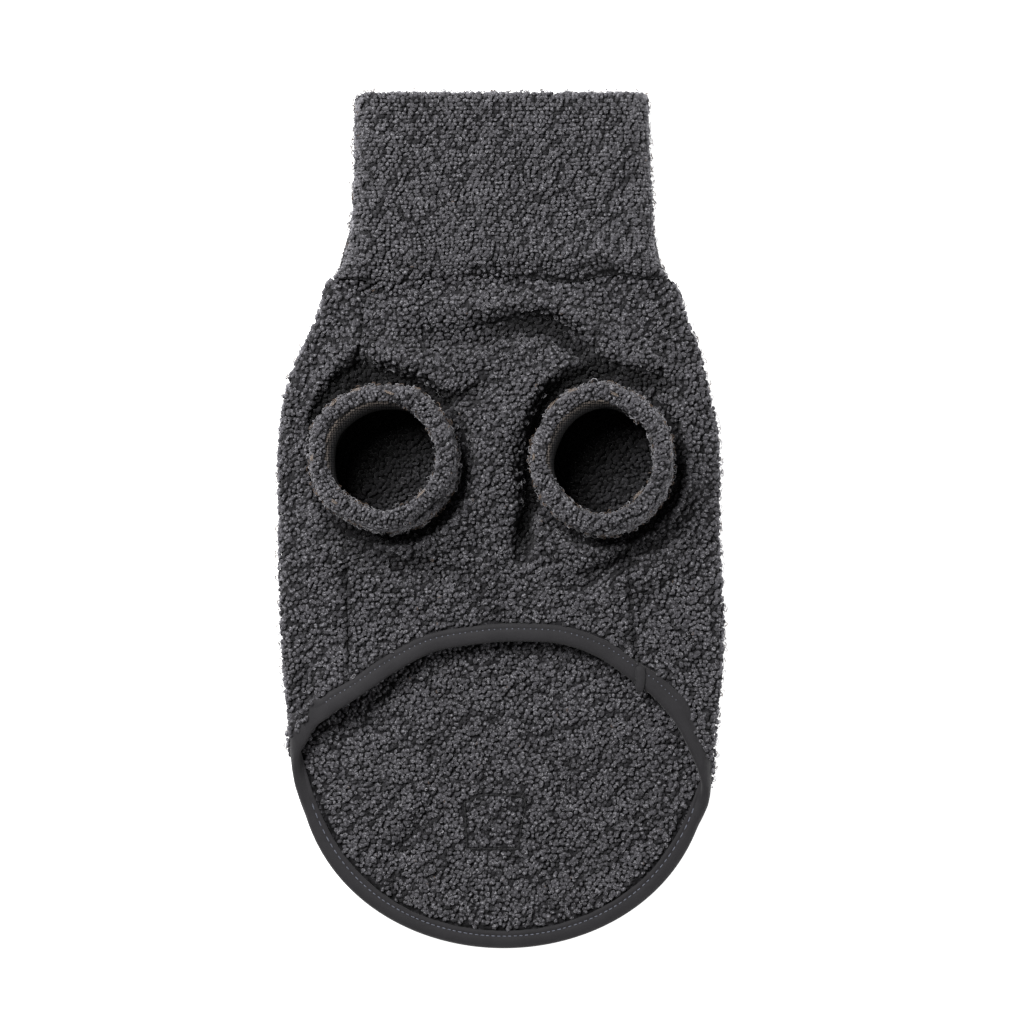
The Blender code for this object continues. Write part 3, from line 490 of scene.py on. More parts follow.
def fold_depth(x, y):
    """How deep in folds a place of the upper layer lies: the troughs and the rings' feet,
    summed."""
    feet = sum(ring_place(x, y, sleeve)[1] for sleeve in SLEEVES)
    return feet - sum(np.minimum(crease_height(x, y, crease), 0.0) for crease in CREASES)


def body_point(side, turn, y, depth):
    """A point of the laid body. turn is the distance along the cloth from the outermost line of
    the side fold, negative underneath and positive on the upper layer. depth is measured in from
    the outer face."""
    angle = np.clip(turn / FOLD_MIDDLE, -math.pi / 2, math.pi / 2)
    reach = FOLD_RADIUS - depth
    inward = np.maximum(np.abs(turn) - FOLD_GIRTH / 2, 0.0)
    x = side * (flat_length(side, y) + reach * np.cos(angle) - inward)
    z = FOLD_RADIUS + reach * np.sin(angle)
    z = z + np.where(turn > FOLD_GIRTH / 2, lift(x, y), 0.0)
    return np.stack([x, y, z], axis=-1)


def tail_y(x):
    """The tail's hem, the lower half of an ellipse."""
    across = (x - TAIL_MIDDLE_X) / TAIL_HALF_WIDTH
    return TAIL_MIDDLE_Y - TAIL_DEPTH * np.sqrt(np.maximum(1 - across**2, 0))


def hem_on_fold(side, share):
    """The hem round a side fold, from underneath (share 0) to the upper layer (1): a cubic that
    meets the tail's curve and the scoop with their own slopes."""
    flat = flat_length(side, TAIL_MIDDLE_Y)
    low_step, high_step, past_fold = 0.01, 6, 0.3
    low, high = tail_y(side * flat), scoop_y(side * (flat + past_fold))
    low_slope = (low - tail_y(side * (flat - low_step))) / low_step
    high_slope = (scoop_y(side * (flat - high_step)) - high) / high_step
    rest = 1 - share
    start = (1 + 2 * share) * rest**2 * low + share * rest**2 * FOLD_GIRTH * low_slope
    end = share**2 * (3 - 2 * share) * high - share**2 * rest * FOLD_GIRTH * high_slope
    return start + end


def hem_point(side, place):
    """The hem's turn and distance up. place runs from 0, the middle of the back, through 1 to 2
    round the side fold, to 3, the middle of the belly."""
    flat = flat_length(side, TAIL_MIDDLE_Y)
    widest = np.arcsin((flat - side * TAIL_MIDDLE_X) / TAIL_HALF_WIDTH)
    start = np.arcsin(-side * TAIL_MIDDLE_X / TAIL_HALF_WIDTH)
    under_x = side * TAIL_MIDDLE_X + TAIL_HALF_WIDTH * np.sin(start + (widest - start) * place)
    under_turn = under_x - flat - FOLD_GIRTH / 2
    fold_share = np.clip(place - 1, 0, 1)
    fold_turn = FOLD_GIRTH * (fold_share - 0.5)
    upper_x = side * flat * (3 - place)
    upper_y = scoop_y(upper_x)
    upper_turn = FOLD_GIRTH / 2 + flat_length(side, upper_y) - side * upper_x
    turn = np.where(place <= 1, under_turn, np.where(place <= 2, fold_turn, upper_turn))
    above = np.where(place <= 2, hem_on_fold(side, fold_share), upper_y)
    y = np.where(place <= 1, tail_y(side * under_x), above)
    return turn, y


def seam_reach(side, y):
    """How far from the middle a long seam lies."""
    return by_side(LONG_SEAMS, side, y)


def seam_place(side):
    """Where the long seam meets the hem, as a place along it."""
    flat = flat_length(side, TAIL_MIDDLE_Y)
    y = TAIL_MIDDLE_Y
    for _ in range(20):
        y = scoop_y(side * seam_reach(side, y))
    return 3 - float(seam_reach(side, y) / flat)


def neck_y(side, share):
    """The neck seam's distance up: straight underneath (share 0 to 2), following its table above
    (2 to 3)."""
    x = side * flat_length(side, NECK_Y) * np.clip(3 - share, -1, 1)
    upper = through(NECK_SEAM, x, "y", "x")
    return NECK_Y + (upper - NECK_Y) * eased((share - 2) * 3)


# ---- Noise, for the pile and the small unevenness of the cloth


MIX_PLACES = (73856093, 19349663, 83492791)
MIX_SEED = 2654435761
MIX_ROUNDS = ((13, 1274126177), (16, 2246822519), (15, 1))


def random_at(cells, seed):
    """A number from 0 to 1 for each cell of a grid: its whole-number place is mixed by products and
    shifts."""
    parts = cells.astype(np.uint32) * np.array(MIX_PLACES, np.uint32)
    mixed = parts[:, 0] ^ parts[:, 1] ^ parts[:, 2] ^ np.uint32((seed * MIX_SEED) % 2**32)
    for shift, factor in MIX_ROUNDS:
        mixed = (mixed ^ (mixed >> np.uint32(shift))) * np.uint32(factor)
    return mixed.astype(np.float64) / 2**32


def smooth_noise(points, size, seed):
    """Random values on a grid of that size, blended between its eight nearest corners with eased
    weights."""
    place = points / size
    home = np.floor(place).astype(np.int64)
    weight = eased(place - home)
    total = np.zeros(len(points))
    for corner in product((0, 1), repeat=3):
        share = np.prod(np.where(corner, weight, 1 - weight), axis=1)
        total += share * random_at(home + np.array(corner), seed)
    return total


def slow_moves(points, seed):
    """Two slow noises from -0.5 to 0.5 for each point, to move it by."""
    moves = [smooth_noise(points, WARP_SIZE, seed + 100 * k) - 0.5 for k in (1, 2)]
    return np.stack(moves, axis=-1)


# ---- Meshes


def turned_out(points, faces):
    """The faces of a closed shape, turned outwards by the sign of the volume that they enclose."""
    volume = 0.0
    for block in faces:
        first = points[block[:, 0]]
        for k in range(1, block.shape[1] - 1):
            across = np.cross(points[block[:, k]], points[block[:, k + 1]])
            volume += np.einsum("ij,ij->", first, across)
    return [block[:, ::-1] for block in faces] if volume < 0 else faces


def new_piece(name, points, faces, materials, pile=None, relief=None, shown=None):
    """An object from points in millimetres and blocks of three-sided and four-sided faces. pile is
    the colour value stored at each point, which carries painted shade and painted light, relief
    says where the points carry it, and shown picks each face's material."""
    faces = turned_out(points, faces)
    sizes = np.concatenate([np.full(len(block), block.shape[1]) for block in faces])
    corners = np.concatenate([block.ravel() for block in faces])
    mesh = bpy.data.meshes.new(name)
    mesh.vertices.add(len(points))
    mesh.vertices.foreach_set("co", (points * MM).astype(np.float32).ravel())
    mesh.loops.add(len(corners))
    mesh.loops.foreach_set("vertex_index", corners.astype(np.int32))
    mesh.polygons.add(len(sizes))
    mesh.polygons.foreach_set("loop_start", (np.cumsum(sizes) - sizes).astype(np.int32))
    for key, values in (("pile", pile), ("relief", relief)):
        if values is not None:
            attribute = mesh.attributes.new(key, "FLOAT", "POINT")
            attribute.data.foreach_set("value", values.astype(np.float32))
    for material in materials:
        mesh.materials.append(material)
    if shown is not None:
        mesh.polygons.foreach_set("material_index", shown.astype(np.int32))
    mesh.update(calc_edges=True)
    mesh.shade_smooth()
    piece = bpy.data.objects.new(name, mesh)
    bpy.context.scene.collection.objects.link(piece)
    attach(piece, "root")
    return piece


def repeated(count, points_each, *blocks):
    """The faces of many copies of a small shape, whose points follow one another."""
    first_point = (np.arange(count) * points_each)[:, None, None]
    return [(block[None] + first_point).reshape(-1, block.shape[1]) for block in blocks]


def staggered(low, high, step):
    """Points in rows that are half a step apart from one row to the next."""
    x = np.arange(low[0], high[0], step)
    y = np.arange(low[1], high[1], step * math.sqrt(0.75))
    x, y = np.meshgrid(x, y)
    x = x + (np.arange(len(y)) % 2)[:, None] * step / 2
    return np.stack([x.ravel(), y.ravel()], axis=-1)


def distance_to(points, line):
    """Distance from each point to the nearest point of a line, in blocks that fit in memory."""
    found = np.empty(len(points))
    for start in range(0, len(points), 4000):
        block = points[start : start + 4000]
        apart = (block**2).sum(1)[:, None] + (line**2).sum(1)[None, :] - 2 * block @ line.T
        found[start : start + 4000] = np.sqrt(np.maximum(apart.min(axis=1), 0.0))
    return found


def resampled(line, step):
    """The same line with its points one step apart, its ends kept."""
    lengths = np.hypot(*np.diff(line, axis=0).T)
    along = np.concatenate([[0.0], np.cumsum(lengths)])
    count = max(int(round(along[-1] / step)), 1)
    at = np.linspace(0, along[-1], count + 1)
    return np.stack([np.interp(at, along, line[:, 0]), np.interp(at, along, line[:, 1])], axis=-1)


def filled(outline, steps):
    """Triangles that fill an outline. Between its points go staggered points, at the step that
    each zone asks for, and they are joined into even triangles. steps lists (step, zone), where
    zone tells which points are in it."""
    low, high = outline.min(0), outline.max(0)
    points = [outline]
    for step, zone in steps:
        added = staggered(low, high, step)
        added = added[zone(added)]
        points.append(added[distance_to(added, outline) > 0.6 * step])
    points = np.concatenate(points)
    border = [(i, (i + 1) % len(outline)) for i in range(len(outline))]
    found = delaunay_2d_cdt(points.tolist(), border, [], 1, 1e-7)
    triangles = np.array(found[2])
    used, faces = np.unique(triangles, return_inverse=True)
    return points[used], faces.reshape(triangles.shape)


def wall_of(outer, outer_faces, inner, inner_faces, border):
    """A closed wall from two filled faces that share their first points, which are the
    border's."""
    after = (np.arange(border) + 1) % border
    here = np.arange(border)
    count = len(outer)
    rim = np.stack([after, here, here + count, after + count], axis=-1)
    return np.concatenate([outer, inner]), [outer_faces, inner_faces[:, ::-1] + count, rim]


def crevices(points):
    """1 along the crevices and 0 away from them. They follow the lines where a stretched, slanting
    noise passes its middle value. Its height over its slope is the distance to such a line."""
    cosine, sine = math.cos(CREVICE_SLANT), math.sin(CREVICE_SLANT)
    slant = np.array([[cosine, -sine], [sine, cosine]]) / np.array([CREVICE_LONG, CREVICE_WIDE])

    def height(x_step, y_step):
        turned = (points[:, :2] + np.array([x_step, y_step])) @ slant
        place = np.column_stack([turned, points[:, 2] / CREVICE_TALL])
        return smooth_noise(place, 1.0, CREVICE_SEED) - 0.5

    middle, step = height(0, 0), 0.4
    slope = np.hypot(height(step, 0) - middle, height(0, step) - middle) / step
    return np.exp(-((middle / (slope * CREVICE_REACH + 1e-6)) ** 2))


def new_nubs(name, points, normals, material, slot, seed, dark=0.0, low=0.0, size=1.0, pale=1.0):
    """Nubs of pile: each is a closed dome, a point above two rings, uneven by up to a fifth. It
    stands along its normal and is turned, widened and raised at random, and its colour value falls
    from the top to the foot, as painted shade between the nubs. dark says how much of its colour a
    nub loses: on the panels that is the painted shade of folds, grooves and the holes under the
    sleeves. low says how far it is sunk, and pale how much painted light makes it lighter where the
    cloth turns down."""
    random = np.random.default_rng(seed)
    count = len(points)
    first, second = ways_across(normals, random)
    wide = size * random.uniform(*NUB_WIDTH, (count, 1))
    longer = random.uniform(*NUB_LONGER, (count, 1))
    crevice = crevices(points)
    swell = SWELL * (smooth_noise(points, SWELL_SIZE, SWELL_SEED) - 0.5)
    top = random.uniform(*NUB_TOP, (count, 1))
    top = top + swell[:, None] - (CREVICE_SINK * crevice + low)[:, None]
    # Painted shade: nubs along the crevices are darker
    shade = random.uniform(*NUB_SHADE, count) * (1 - CREVICE_PAINTED_SHADE * crevice) * (1 - dark)
    # Painted light: paler nubs where the cloth turns down at the sides, most of which goes again
    # below the side folds
    upward = normals[:, 2]
    under = UNDER_LOSS * eased((UNDER_FROM - upward) / UNDER_OVER)
    turned = eased((SIDE_FROM - upward) / SIDE_OVER) * (1 - under)
    shade = shade * (1 + PAINTED_SIDE_LIGHT * pale * turned)
    centre = points + normals * (top - wide)
    cloud, pile = [centre + normals * wide * random.uniform(*NUB_POINT, (count, 1))], [shade]
    for ring in NUB_RINGS:
        for k in range(NUB_SIDES):
            angle = 2 * math.pi * k / NUB_SIDES
            uneven = random.uniform(*NUB_UNEVEN, (count, 1))
            flat = wide * math.sin(ring.polar) * uneven
            way = first * math.cos(angle) * longer + second * math.sin(angle) / longer
            cloud.append(centre + way * flat + normals * wide * math.cos(ring.polar) * uneven)
            pile.append(shade * ring.pile)
    cloud = np.stack(cloud, axis=1).reshape(-1, 3)
    cloud[:, 2] = np.maximum(cloud[:, 2], LOWEST)
    ring = np.arange(NUB_SIDES)
    after = (ring + 1) % NUB_SIDES
    cap = np.stack([0 * ring, 1 + ring, 1 + after], axis=-1)
    wall = np.stack([1 + ring, 1 + NUB_SIDES + ring, 1 + NUB_SIDES + after, 1 + after], axis=-1)
    foot = 1 + NUB_SIDES + ring[::-1][None, :]
    faces = repeated(count, 1 + 2 * NUB_SIDES, cap, wall, foot)
    pile = np.stack(pile, axis=1).ravel()
    return new_piece(name, cloud, faces, [material], pile, np.ones(len(pile)))


def ways_across(normals, random):
    """Two unit ways square to each normal and to each other, turned at random."""
    any_way = random.normal(size=normals.shape)
    first = any_way - normals * (any_way * normals).sum(axis=1)[:, None]
    first /= np.linalg.norm(first, axis=1)[:, None]
    return first, np.cross(normals, first)


def sampled(grid, row, column):
    """Values between a grid's points, from the four nearest. The columns wrap round."""
    low_row, low_column = np.floor(row).astype(int), np.floor(column).astype(int)
    row_share, column_share = (row - low_row)[:, None], (column - low_column)[:, None]
    rows, columns = grid.shape[:2]
    next_row = np.minimum(low_row + 1, rows - 1)
    here, there = low_column % columns, (low_column + 1) % columns
    lower = grid[low_row, here] * (1 - column_share) + grid[low_row, there] * column_share
    upper = grid[next_row, here] * (1 - column_share) + grid[next_row, there] * column_share
    return lower * (1 - row_share) + upper * row_share


def grid_nubs(
    name, base, normal, first_row, last_row, keep, material, slot, seed, size=1.0, **look
):
    """Nubs over rows of a grid of points: rows a nub's step apart, bent by a slow noise, as many
    round each as fit there."""
    step = NUB_STEP * size
    random = np.random.default_rng(seed + 50)
    down = np.linalg.norm(np.diff(base, axis=0), axis=2).mean(axis=1)
    at = np.concatenate([[0.0], np.cumsum(down)])
    round_length = np.linalg.norm(np.roll(base, -1, axis=1) - base, axis=2)
    lengths = np.arange(at[first_row], at[last_row], step * math.sqrt(0.75))
    rows, columns = [], []
    for k, length in enumerate(lengths):
        row = np.interp(length, at, np.arange(len(at)))
        steps = np.concatenate([[0.0], np.cumsum(round_length[int(round(row))])])
        count = int(steps[-1] / step)
        places = (np.arange(count) + 0.5 * (k % 2)) * steps[-1] / count
        places = places + random.uniform(-NUB_JITTER, NUB_JITTER, count) * step
        columns.append(np.interp(places % steps[-1], steps, np.arange(len(steps))))
        jitter = random.uniform(-NUB_JITTER, NUB_JITTER, count) * step / down.mean() * JITTER_DOWN
        rows.append(np.clip(row + jitter, 0, base.shape[0] - 1.001))
    row, column = np.concatenate(rows), np.concatenate(columns)
    moves = NUB_WARP * size * slow_moves(sampled(base, row, column), seed)
    row = np.clip(row + moves[:, 0] / down.mean(), first_row, min(last_row, base.shape[0] - 1.001))
    column = (column + moves[:, 1] / round_length.mean()) % base.shape[1]
    kept = keep(row, column)
    row, column = row[kept], column[kept]
    normals = sampled(normal, row, column)
    normals /= np.linalg.norm(normals, axis=1)[:, None]
    places = sampled(base, row, column)
    return new_nubs(name, places, normals, material, slot, seed, size=size, **look)


# ---- The two body panels


def arc_points(side, inward):
    """One edge of a panel beside a long seam, from the hem to the neck, as distances from the
    middle and up. Where the armhole crosses the seam, the edge follows the armhole: outwards for
    the back, inwards for the belly."""
    sleeve = SLEEVES[1] if side > 0 else SLEEVES[0]
    gap = -SEAM_GAP / 2 if inward else SEAM_GAP / 2
    middle = np.array([side * sleeve.x, sleeve.y])
    radius = ARMHOLE_RADIUS + SEAM_GAP
    place = seam_place(side)
    _, start = hem_point(side, np.array(place))
    y = np.linspace(float(start) + EDGE_IN, float(neck_edge(side, seam_reach(side, NECK_Y))), 3000)
    line = np.stack([seam_reach(side, y) + gap, y], axis=-1)
    within = np.hypot(*(line - middle).T) < radius
    first, last = np.flatnonzero(within)[[0, -1]]
    start = math.atan2(*(line[first] - middle)[::-1])
    end = math.atan2(*(line[last] - middle)[::-1])
    if inward:
        end -= 2 * math.pi
    angles = np.linspace(start, end, 200)
    arc = middle + radius * np.stack([np.cos(angles), np.sin(angles)], axis=-1)
    return [line[: first + 1], arc, line[last:]]


def neck_edge(side, reach):
    """The neck seam's distance up at a distance from the middle on the upper layer."""
    share = 3 - reach / flat_length(side, NECK_Y)
    return neck_y(side, share) - SEAM_GAP / 2


def around_length(side, reach, y):
    """Distance along the cloth from the middle of the back to a point of the upper layer."""
    return 2 * flat_length(side, y) + FOLD_GIRTH - reach


def back_place(points):
    """Side and turn for points given by their distance along the cloth from the middle of the
    back."""
    side = np.where(points[:, 0] > 0, 1.0, -1.0)
    turn = np.abs(points[:, 0]) - flat_length(side, points[:, 1]) - FOLD_GIRTH / 2
    return side, turn


def belly_place(points):
    side = np.where(points[:, 0] > 0, 1.0, -1.0)
    turn = FOLD_GIRTH / 2 + flat_length(side, points[:, 1]) - np.abs(points[:, 0])
    return side, turn


def hem_line(places, side):
    """The hem on the cloth laid out flat: distance from the middle of the back, and distance
    up."""
    turn, y = hem_point(side, places)
    return np.stack([side * (turn + flat_length(side, y) + FOLD_GIRTH / 2), y], axis=-1)


def moved_in(line, distance):
    """A line moved to its left by a distance."""
    along = np.gradient(line, axis=0)
    along = along / np.hypot(*along.T)[:, None]
    return line + distance * np.stack([-along[:, 1], along[:, 0]], axis=-1)


def normals_of(place, points, depth, outward):
    """Unit normals of the laid cloth: the cross product of its slopes along the cloth and up
    it."""
    step = 0.25

    def at(du, dy):
        moved = points + np.array([du, dy])
        side, turn = place(moved)
        return body_point(side, turn, moved[:, 1], depth)

    across = at(step, 0.0) - at(-step, 0.0)
    up = at(0.0, step) - at(0.0, -step)
    normal = np.cross(across, up)
    return outward * normal / np.linalg.norm(normal, axis=1)[:, None]


def inside(points, outline):
    """Which points lie inside an outline: those from which a straight way crosses it an odd number
    of times."""
    start, end = outline, np.roll(outline, -1, axis=0)
    odd = np.zeros(len(points), bool)
    for first in range(0, len(points), 4000):
        x, y = points[first : first + 4000].T[:, :, None]
        spans = (start[:, 1] > y) != (end[:, 1] > y)
        with np.errstate(divide="ignore", invalid="ignore"):
            share = (y - start[:, 1]) / (end[:, 1] - start[:, 1])
            cross = start[:, 0] + share * (end[:, 0] - start[:, 0])
        odd[first : first + 4000] = (spans & (x < cross)).sum(axis=1) % 2
    return odd


def scattered(low, high, seed):
    """Places for nubs: staggered points, each moved a little at random, in rows that a slow noise
    bends."""
    points = staggered(low, high, NUB_STEP)
    jitter = np.random.default_rng(seed).uniform(-NUB_JITTER, NUB_JITTER, points.shape)
    points = points + jitter * NUB_STEP
    return points + NUB_WARP * slow_moves(np.column_stack([points, 0 * points[:, 0]]), seed)


Panel = namedtuple("Panel", "place outward outline hem seams")

# How far from the outline and from the tape's edge nubs stay, unevenly. On the side folds they
# cover more of the tape, from one turn of the cloth to another, each with the length over which
# that starts or ends.
OUTLINE_STEP = 2.5
FROM_OUTLINE = 0.5
FROM_TAPE = 0.9
FROM_TAPE_INSIDE = 1.25
FROM_TAPE_UNEVEN = Range(-0.5, 0.6)
FOLD_COVER = 4.6
COVER_FROM = -10.0
COVER_FROM_OVER = 6.0
COVER_TO = FOLD_GIRTH / 2 + 12.0
COVER_TO_OVER = 10.0
TAPE_LAP = 1.5
TAPE_LAP_RAISE = 1.3

# Nubs stand higher beside the neck seam, up to a place right of the middle, and not at the far left
NECK_RAISE = 1.3
NECK_BAND = 4.5
NECK_BAND_OVER = 3.5
NECK_RIGHT = 18.0
NECK_RIGHT_OVER = 14.0
NECK_LEFT = -80.0
NECK_LEFT_OVER = 10.0

SIDE_HIGHEST = LAID_HEIGHT + 0.3


def clear_places(panel, is_inner, zone, seed):
    """Places for nubs on one face of a panel, in a zone of it, clear of its edge and its tape.
    Also their side, their turn and, from 0 to 1, how far they lie over the tape."""
    points = scattered(panel.outline.min(0), panel.outline.max(0), seed)
    points = points[zone(points)]
    closed = np.concatenate([panel.outline, panel.outline[:1]])
    points = points[inside(points, resampled(closed, OUTLINE_STEP))]
    side, turn = panel.place(points)
    covered = eased((turn - COVER_FROM) / COVER_FROM_OVER)
    covered = covered * eased((COVER_TO - turn) / COVER_TO_OVER)
    clearance = TAPE_WIDTH + (FROM_TAPE_INSIDE if is_inner else FROM_TAPE)
    clearance = clearance - FOLD_COVER * (covered * (not is_inner))
    uneven = np.random.default_rng(seed + 1).uniform(*FROM_TAPE_UNEVEN, len(points))
    from_hem = distance_to(points, panel.hem)
    clear = (distance_to(points, panel.outline) > FROM_OUTLINE) & (from_hem > clearance + uneven)
    over_tape = eased((TAPE_WIDTH + TAPE_LAP - from_hem[clear]) / TAPE_LAP)
    return points[clear], side[clear], turn[clear], over_tape


def neck_raise(laid, turn):
    """How much higher nubs stand along the raised part of the neck seam."""
    x, y = laid[:, 0], laid[:, 1]
    from_seam = y - through(NECK_SEAM, x, "y", "x")
    near = eased((from_seam + NECK_BAND) / NECK_BAND_OVER) * (turn > 0)
    near = NECK_RAISE * near * eased((NECK_RIGHT - x) / NECK_RIGHT_OVER)
    return near * eased((x - NECK_LEFT) / NECK_LEFT_OVER)


def panel_nubs(name, seed, panel, is_inner, zone, grooves):
    """The nubs on one face of a panel. Along the lines sewn on it, each with its own strength,
    they are sunk and darkened with painted shade. Painted shade darkens them too in the folds of
    the upper layer and in the tail's creases."""
    depth = CLOTH if is_inner else 0.0
    points, side, turn, over_tape = clear_places(panel, is_inner, zone, seed)
    normals = normals_of(panel.place, points, depth, -panel.outward if is_inner else panel.outward)
    laid = body_point(side, turn, points[:, 1], depth)
    low, dark = np.zeros(len(points)), np.zeros(len(points))
    for line, strength in grooves:
        near = strength(laid) * np.exp(-((distance_to(points, line) / GROOVE_WIDE) ** 2))
        low, dark = np.maximum(low, near), np.maximum(dark, GROOVE_PAINTED_SHADE * near)
    if is_inner:
        laid = laid + normals * tail_height(points)[:, None]
        troughs = sum(np.minimum(crease_height(*points.T, crease), 0.0) for crease in TAIL_CREASES)
        depths = -troughs * TAIL_FOLD_SHARE
    else:
        depths = fold_depth(laid[:, 0], laid[:, 1]) * (turn > FOLD_GIRTH / 2)
    # Painted shade: nubs darken with the depth of the folds of the upper layer and of the tail's
    # troughs
    dark = np.maximum(dark, FOLD_PAINTED_SHADE * eased(depths / FOLD_FULL))
    shown = low < GROOVE_BARE
    laid, normals, turn, dark, low = (values[shown] for values in (laid, normals, turn, dark, low))
    low = low - TAPE_LAP_RAISE * over_tape[shown] - neck_raise(laid, turn)
    # Painted shadow under the sleeves' holes
    if zone is under_hole:
        dark = painted_hole_shadow(laid)
    # Painted side light only on nubs below the upper layer's laid height
    pale = laid[:, 2] < SIDE_HIGHEST
    return new_nubs(name, laid, normals, FLEECE, "fleece", seed, dark, low, pale=pale)


# The plain square sewn on the tail, and the tail's own slight creases
SQUARE = np.array([
    (-18.3, -141.5), (-17.6, -152.0), (-17.2, -164.8), (8.6, -165.0), (10.4, -152.0),
    (12.5, -142.0), (11.0, -138.4), (-8.4, -137.6), (-18.3, -141.5),
])
SQUARE_GROOVE = 1.2

TAIL_CREASES = (
    table(
        CreasePoint,
        (-27, -136, 3.0, 0.0), (-36, -146, 3.8, -1.8), (-47, -158, 4.0, -2.2),
        (-63, -177, 3.0, 0.0),
    ),
    table(CreasePoint, (-44, -138, 5.0, 0.0), (-55, -152, 6.0, 1.6), (-66, -164, 5.0, 0.0)),
    table(CreasePoint, (-54, -118, 2.5, 0.0), (-60, -127, 2.8, -1.4), (-66, -136, 2.5, 0.0)),
    table(CreasePoint, (-40, -99, 5.0, 0.0), (-24, -118, 6.0, 1.0), (-6, -130, 5.0, 0.0)),
    table(CreasePoint, (22, -108, 5.0, 0.0), (40, -124, 6.0, 1.2), (58, -150, 5.0, 0.0)),
    table(CreasePoint, (18, -166, 4.0, 0.0), (34, -172, 5.0, -1.0), (54, -166, 4.0, 0.0)),
)
TAIL_PUFF = Mound(-3.0, -151.0, 12.0, 11.0, 1.1)
SQUARE_STITCH = 2.6
SQUARE_STITCH_UP = 1.5


def sleeve_distances(points):
    """How far points of the body lie from the middle of each sleeve's hole."""
    return [np.hypot(points[:, 0] - sleeve.x, points[:, 1] - sleeve.y) for sleeve in SLEEVES]


def painted_hole_shadow(laid):
    """How much painted shadow darkens the back's inner face under the sleeves."""
    across = [(laid[:, 1] - sleeve.y) - (laid[:, 0] - sleeve.x) for sleeve in SLEEVES]
    nearer = np.where(laid[:, 0] < 0, across[0], across[1])
    return HOLE_PAINTED_SHADOW + (HOLE_PAINTED_SHADOW_MOST - HOLE_PAINTED_SHADOW) * eased((nearer - HOLE_FROM) / HOLE_OVER)


# How strongly the seams show, by sinking their nubs and darkening them with painted shade:
# everywhere, how much more below the sleeves, and how that changes at the neck seam, which shows
# less on the left and most on the right
SEAM_LEAST = 0.35
SEAM_BELOW = 0.55
SEAM_BELOW_Y = 10.0
SEAM_BELOW_OVER = 20.0
SEAM_NECK_Y = 108.0
SEAM_NECK_OVER = 8.0
SEAM_NECK_LESS = 0.25
SEAM_NECK_RIGHT = 0.75
SEAM_RIGHT_X = 12.0
SEAM_RIGHT_OVER = 12.0


def seam_strength(laid):
    """How strongly a seam shows at points of the body."""
    x, y = laid[:, 0], laid[:, 1]
    at_neck = eased((y - SEAM_NECK_Y) / SEAM_NECK_OVER)
    neck = SEAM_NECK_RIGHT * eased((x - SEAM_RIGHT_X) / SEAM_RIGHT_OVER) - SEAM_NECK_LESS
    return SEAM_LEAST + SEAM_BELOW * eased((SEAM_BELOW_Y - y) / SEAM_BELOW_OVER) + at_neck * neck


def tail_height(points):
    """How far the tail's inner face stands above its flat height: slight creases and the square's
    puffed middle."""
    x, y = points.T
    creases = sum(crease_height(x, y, crease) for crease in TAIL_CREASES)
    return mound_height(x, y, TAIL_PUFF) + creases


# Where pile stands on the back. Outside, it starts underneath, at this turn. Inside, it is on the
# tail, up to a distance above the scoop, and round the middles of the sleeves' holes. Its ground
# goes a little further.
OUTSIDE_FROM = -11.0
GROUND_FROM = -14.0
TAIL_TURN = -1.0
TAIL_ABOVE_SCOOP = 7.0
TAIL_GROUND = 10.0
HOLE_REACH = 33.0
HOLE_GROUND = 38.0
HOLE_TURN = -20.0
GROUND_FADE = 4.0


def outside(points):
    _, turn = back_place(points)
    return turn > OUTSIDE_FROM


def in_tail(points):
    _, turn = back_place(points)
    return (turn < TAIL_TURN) & (points[:, 1] < scoop_y(points[:, 0]) + TAIL_ABOVE_SCOOP)


def under_hole(points):
    _, turn = back_place(points)
    left, right = sleeve_distances(points)
    close = (left < HOLE_REACH) | (right < HOLE_REACH)
    return close & (turn < HOLE_TURN) & ~in_tail(points)


def everywhere(points):
    return np.ones(len(points), bool)


def back_bare(points, is_inner):
    """1 where the back carries no pile, 0 where it does."""
    _, turn = back_place(points)
    if not is_inner:
        return 1 - eased((turn - GROUND_FROM) / GROUND_FADE)
    below = eased((scoop_y(points[:, 0]) + TAIL_GROUND - points[:, 1]) / GROUND_FADE)
    hole = sum(eased((HOLE_GROUND - apart) / GROUND_FADE) for apart in sleeve_distances(points))
    return 1 - np.clip(below + hole, 0, 1) * eased(-turn / GROUND_FADE)


def belly_bare(points, is_inner):
    """The belly carries pile outside alone."""
    return np.full(len(points), float(is_inner))


# Where the tape presses a panel flat, and the painted shadow line that blackens the ground just
# past the tape on the inner face, with the distance over which it fades
PRESSED_IN = 1.6
PRESSED_OVER = 2.4
TAPE_SHADOW_LINE = 0.8
TAPE_SHADOW_LINE_FADE = 1.5
LOWEST_CLOTH = 0.05


